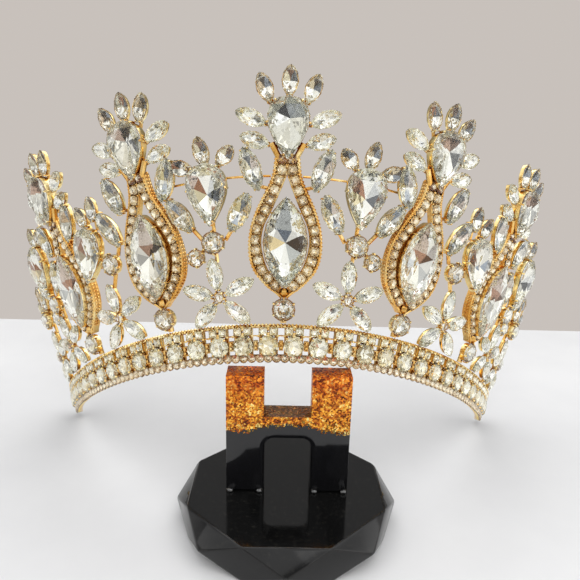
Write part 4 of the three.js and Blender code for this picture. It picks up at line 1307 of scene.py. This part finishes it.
def stand_upright():
    half, soft, steps = UPRIGHT["depth"] / 2, UPRIGHT["arch_edge"], 5
    rings = []
    for side in SIDES:
        for k in range(steps + 1):
            angle = math.pi / 2 * (k if side < 0 else steps - k) / steps
            section = []
            for point, away in reversed(upright_outline()):
                spot = point + away * soft * (1 - math.sin(angle))
                back = soft * (1 - math.cos(angle)) * away.length
                section.append((spot.x, side * (half - back), spot.y + BASE["thickness"]))
            rings.append(section)
    upright = eased(shell(rings), 0.35, 40)
    resin_piece("display_upright", upright, GLITTER, "glitter_resin", 30, "stand_upright")
    drops = []
    for side in SIDES:
        for across, radius in ((UPRIGHT["leg_gap"] + 1.2, 0.95), (UPRIGHT["half_width"] - 1.0, 1.0)):
            drops.append(((side * across, -half - 0.3, BASE["thickness"] + 0.35), radius))
    resin_piece("clear_glue_drops", drafted(balls(drops, 0.8, 12)), GLUE, "black_resin", 180)


# ---------------------------------------------------------------- stage

CAMERA = {"place": (-2.34, -137.9, 102.3), "heading": 0.8, "pitch": 15.79, "roll": 1.50, "lens": 36.61}
TABLE_REACH, TABLE_BACK = 900, 156
SOFTBOXES = {  # place, aim, size and power, in metres and watts
    "key": ((-0.35, -0.35, 0.75), (0, 0, 0.05), (1.7, 1.4), 5.5),
    "fill": ((0.55, -0.25, 0.5), (0, 0, 0.05), (1.15, 1.0), 2.9),
    "back": ((0.1, 0.42, 0.85), (0, 0, 0.06), (0.9, 0.5), 2.2),
}
WALL_COLOUR, DIM_COLOUR = (0.507, 0.468, 0.438), (0.17, 0.16, 0.14)
ROOM_TONES = [
    (0.40, (0.45, 0.44, 0.43)), (0.52, (0.80, 0.78, 0.76)), (0.75, (0.55, 0.55, 0.56)),
    (1.0, (0.9, 0.9, 0.92)),
]
PATCH_TONES = [(0.42, (0.62, 0.62, 0.63)), (0.54, (1.0, 1.0, 1.0))]
PLAIN_STRENGTH, MIRRORED_STRENGTH = 1.14, 1.26


def camera():
    heading, pitch, roll = (math.radians(CAMERA[turn]) for turn in ("heading", "pitch", "roll"))
    level_part = math.cos(pitch)
    ahead = Vector((math.sin(heading) * level_part, math.cos(heading) * level_part, -math.sin(pitch)))
    right = Vector((math.cos(heading), -math.sin(heading), 0))
    up = right.cross(ahead)
    level = right * math.cos(roll) + up * math.sin(roll)
    upward = up * math.cos(roll) - right * math.sin(roll)
    data = bpy.data.cameras.new("camera")
    data.sensor_width, data.lens = 36.0, CAMERA["lens"]
    data.clip_start, data.clip_end = 0.005, 20
    made = bpy.data.objects.new("camera", data)
    turn = Matrix((level, upward, -ahead)).transposed().to_4x4()
    made.matrix_world = Matrix.Translation(Vector(CAMERA["place"]) * MM) @ turn
    bpy.context.scene.collection.objects.link(made)
    bpy.context.scene.camera = made


def softbox(name, place, aim, size, power):
    data = bpy.data.lights.new(name, "AREA")
    data.shape, data.energy = "RECTANGLE", power
    data.size, data.size_y = size
    made = bpy.data.objects.new(name, data)
    made.location = place
    made.rotation_euler = (Vector(aim) - Vector(place)).to_track_quat("-Z", "Y").to_euler()
    bpy.context.scene.collection.objects.link(made)


def table_top():
    draft = Draft()
    reach, far = TABLE_REACH, TABLE_BACK
    draft.add([(-reach, -reach, 0), (reach, -reach, 0), (reach, far, 0), (-reach, far, 0)], [(0, 1, 2, 3)])
    mesh = draft.mesh("table_top")
    mesh.materials.append(TABLE)
    floor = bpy.data.objects.new("table_top", mesh)
    bpy.context.scene.collection.objects.link(floor)


def studio():
    """A pale room, dimmer behind the table. What a mirror sees of it is brighter, but darker overhead."""
    world = bpy.data.worlds.new("studio")
    world.use_nodes = True
    bpy.context.scene.world = world
    hand = Tree(world.node_tree)
    seen = hand.get("ShaderNodeTexCoord", output="Generated")
    ways = hand.node("ShaderNodeSeparateXYZ", {"Vector": seen}).outputs
    high, far = ways["Z"], ways["Y"]
    glow = hand.ramp(hand.span(high, 0, 1, -1, 1), ROOM_TONES)
    patches = hand.get("ShaderNodeTexNoise", {"Vector": seen, "Scale": 2.6, "Detail": 1.0})
    room = hand.blend("MULTIPLY", 1.0, glow, hand.ramp(patches, PATCH_TONES))
    behind = hand.times(hand.span(far, 0, 1, 0.30, 0.65), hand.span(high, 1, 0, 0.62, 0.85))
    room = hand.blend("MULTIPLY", hand.times(behind, 0.65), room, DIM_COLOUR)
    path = hand.node("ShaderNodeLightPath").outputs
    plain = hand.maths("ADD", path["Is Diffuse Ray"], path["Is Camera Ray"], clamp=True)
    mirrored = hand.maths("SUBTRACT", 1.0, plain)
    above = hand.times(hand.span(high, 0.0, 0.64, 0.05, 0.45), hand.span(far, 1.0, 0.0, -0.2, 0.4))
    overhead = hand.maths("SUBTRACT", 1.0, hand.times(mirrored, above))
    hand.feed(world.node_tree.nodes["Background"], {
        "Color": hand.blend("MIX", path["Is Camera Ray"], room, WALL_COLOUR),
        "Strength": hand.times(overhead, hand.span(mirrored, PLAIN_STRENGTH, MIRRORED_STRENGTH)),
    })


def light_paths():
    """Light may pass many facets, and comes out of the crystals as it went in."""
    scene = bpy.context.scene
    scene.view_settings.view_transform = "Standard"
    scene.cycles.max_bounces, scene.cycles.glossy_bounces, scene.cycles.transmission_bounces = 20, 16, 16
    scene.cycles.caustics_reflective = False
    scene.cycles.caustics_refractive = False


# ---------------------------------------------------------------- assembly

MAIN_SEED, SIDE_SEED, END_SEED, BAND_SEED, SEED_STEP = 100, 300, 500, 901, 10


def number_name(number):
    return "centre" if number == 0 else f"{'left' if number < 0 else 'right'}_{abs(number)}"


camera()
table_top()
studio()
for box_name, sizes in SOFTBOXES.items():
    softbox(box_name, *sizes)
light_paths()
stand_base()
stand_upright()
band()
for number in (-2, -1, 0, 1, 2):
    main_ornament(number_name(number), MIDDLE + number * PITCH, MAIN_SEED + SEED_STEP * number)
for side in SIDES:
    for number in (1, 2, 3):
        place, centre = number_name(side * number), MIDDLE + side * (number - 0.5) * PITCH
        seed = SIDE_SEED + SEED_STEP * side * number
        if number == 2:
            low_side_ornament(place, centre, side, seed)
        else:
            side_ornament(place, centre, side, (-side,) if number == 3 else SIDES, seed)
    end_spray("left" if side < 0 else "right", MIDDLE + side * END_PITCH * PITCH, END_SEED + side)
for box, _ in (STONES, CUPS):
    for pattern in list(box.objects):
        bpy.data.objects.remove(pattern)
    bpy.data.collections.remove(box)
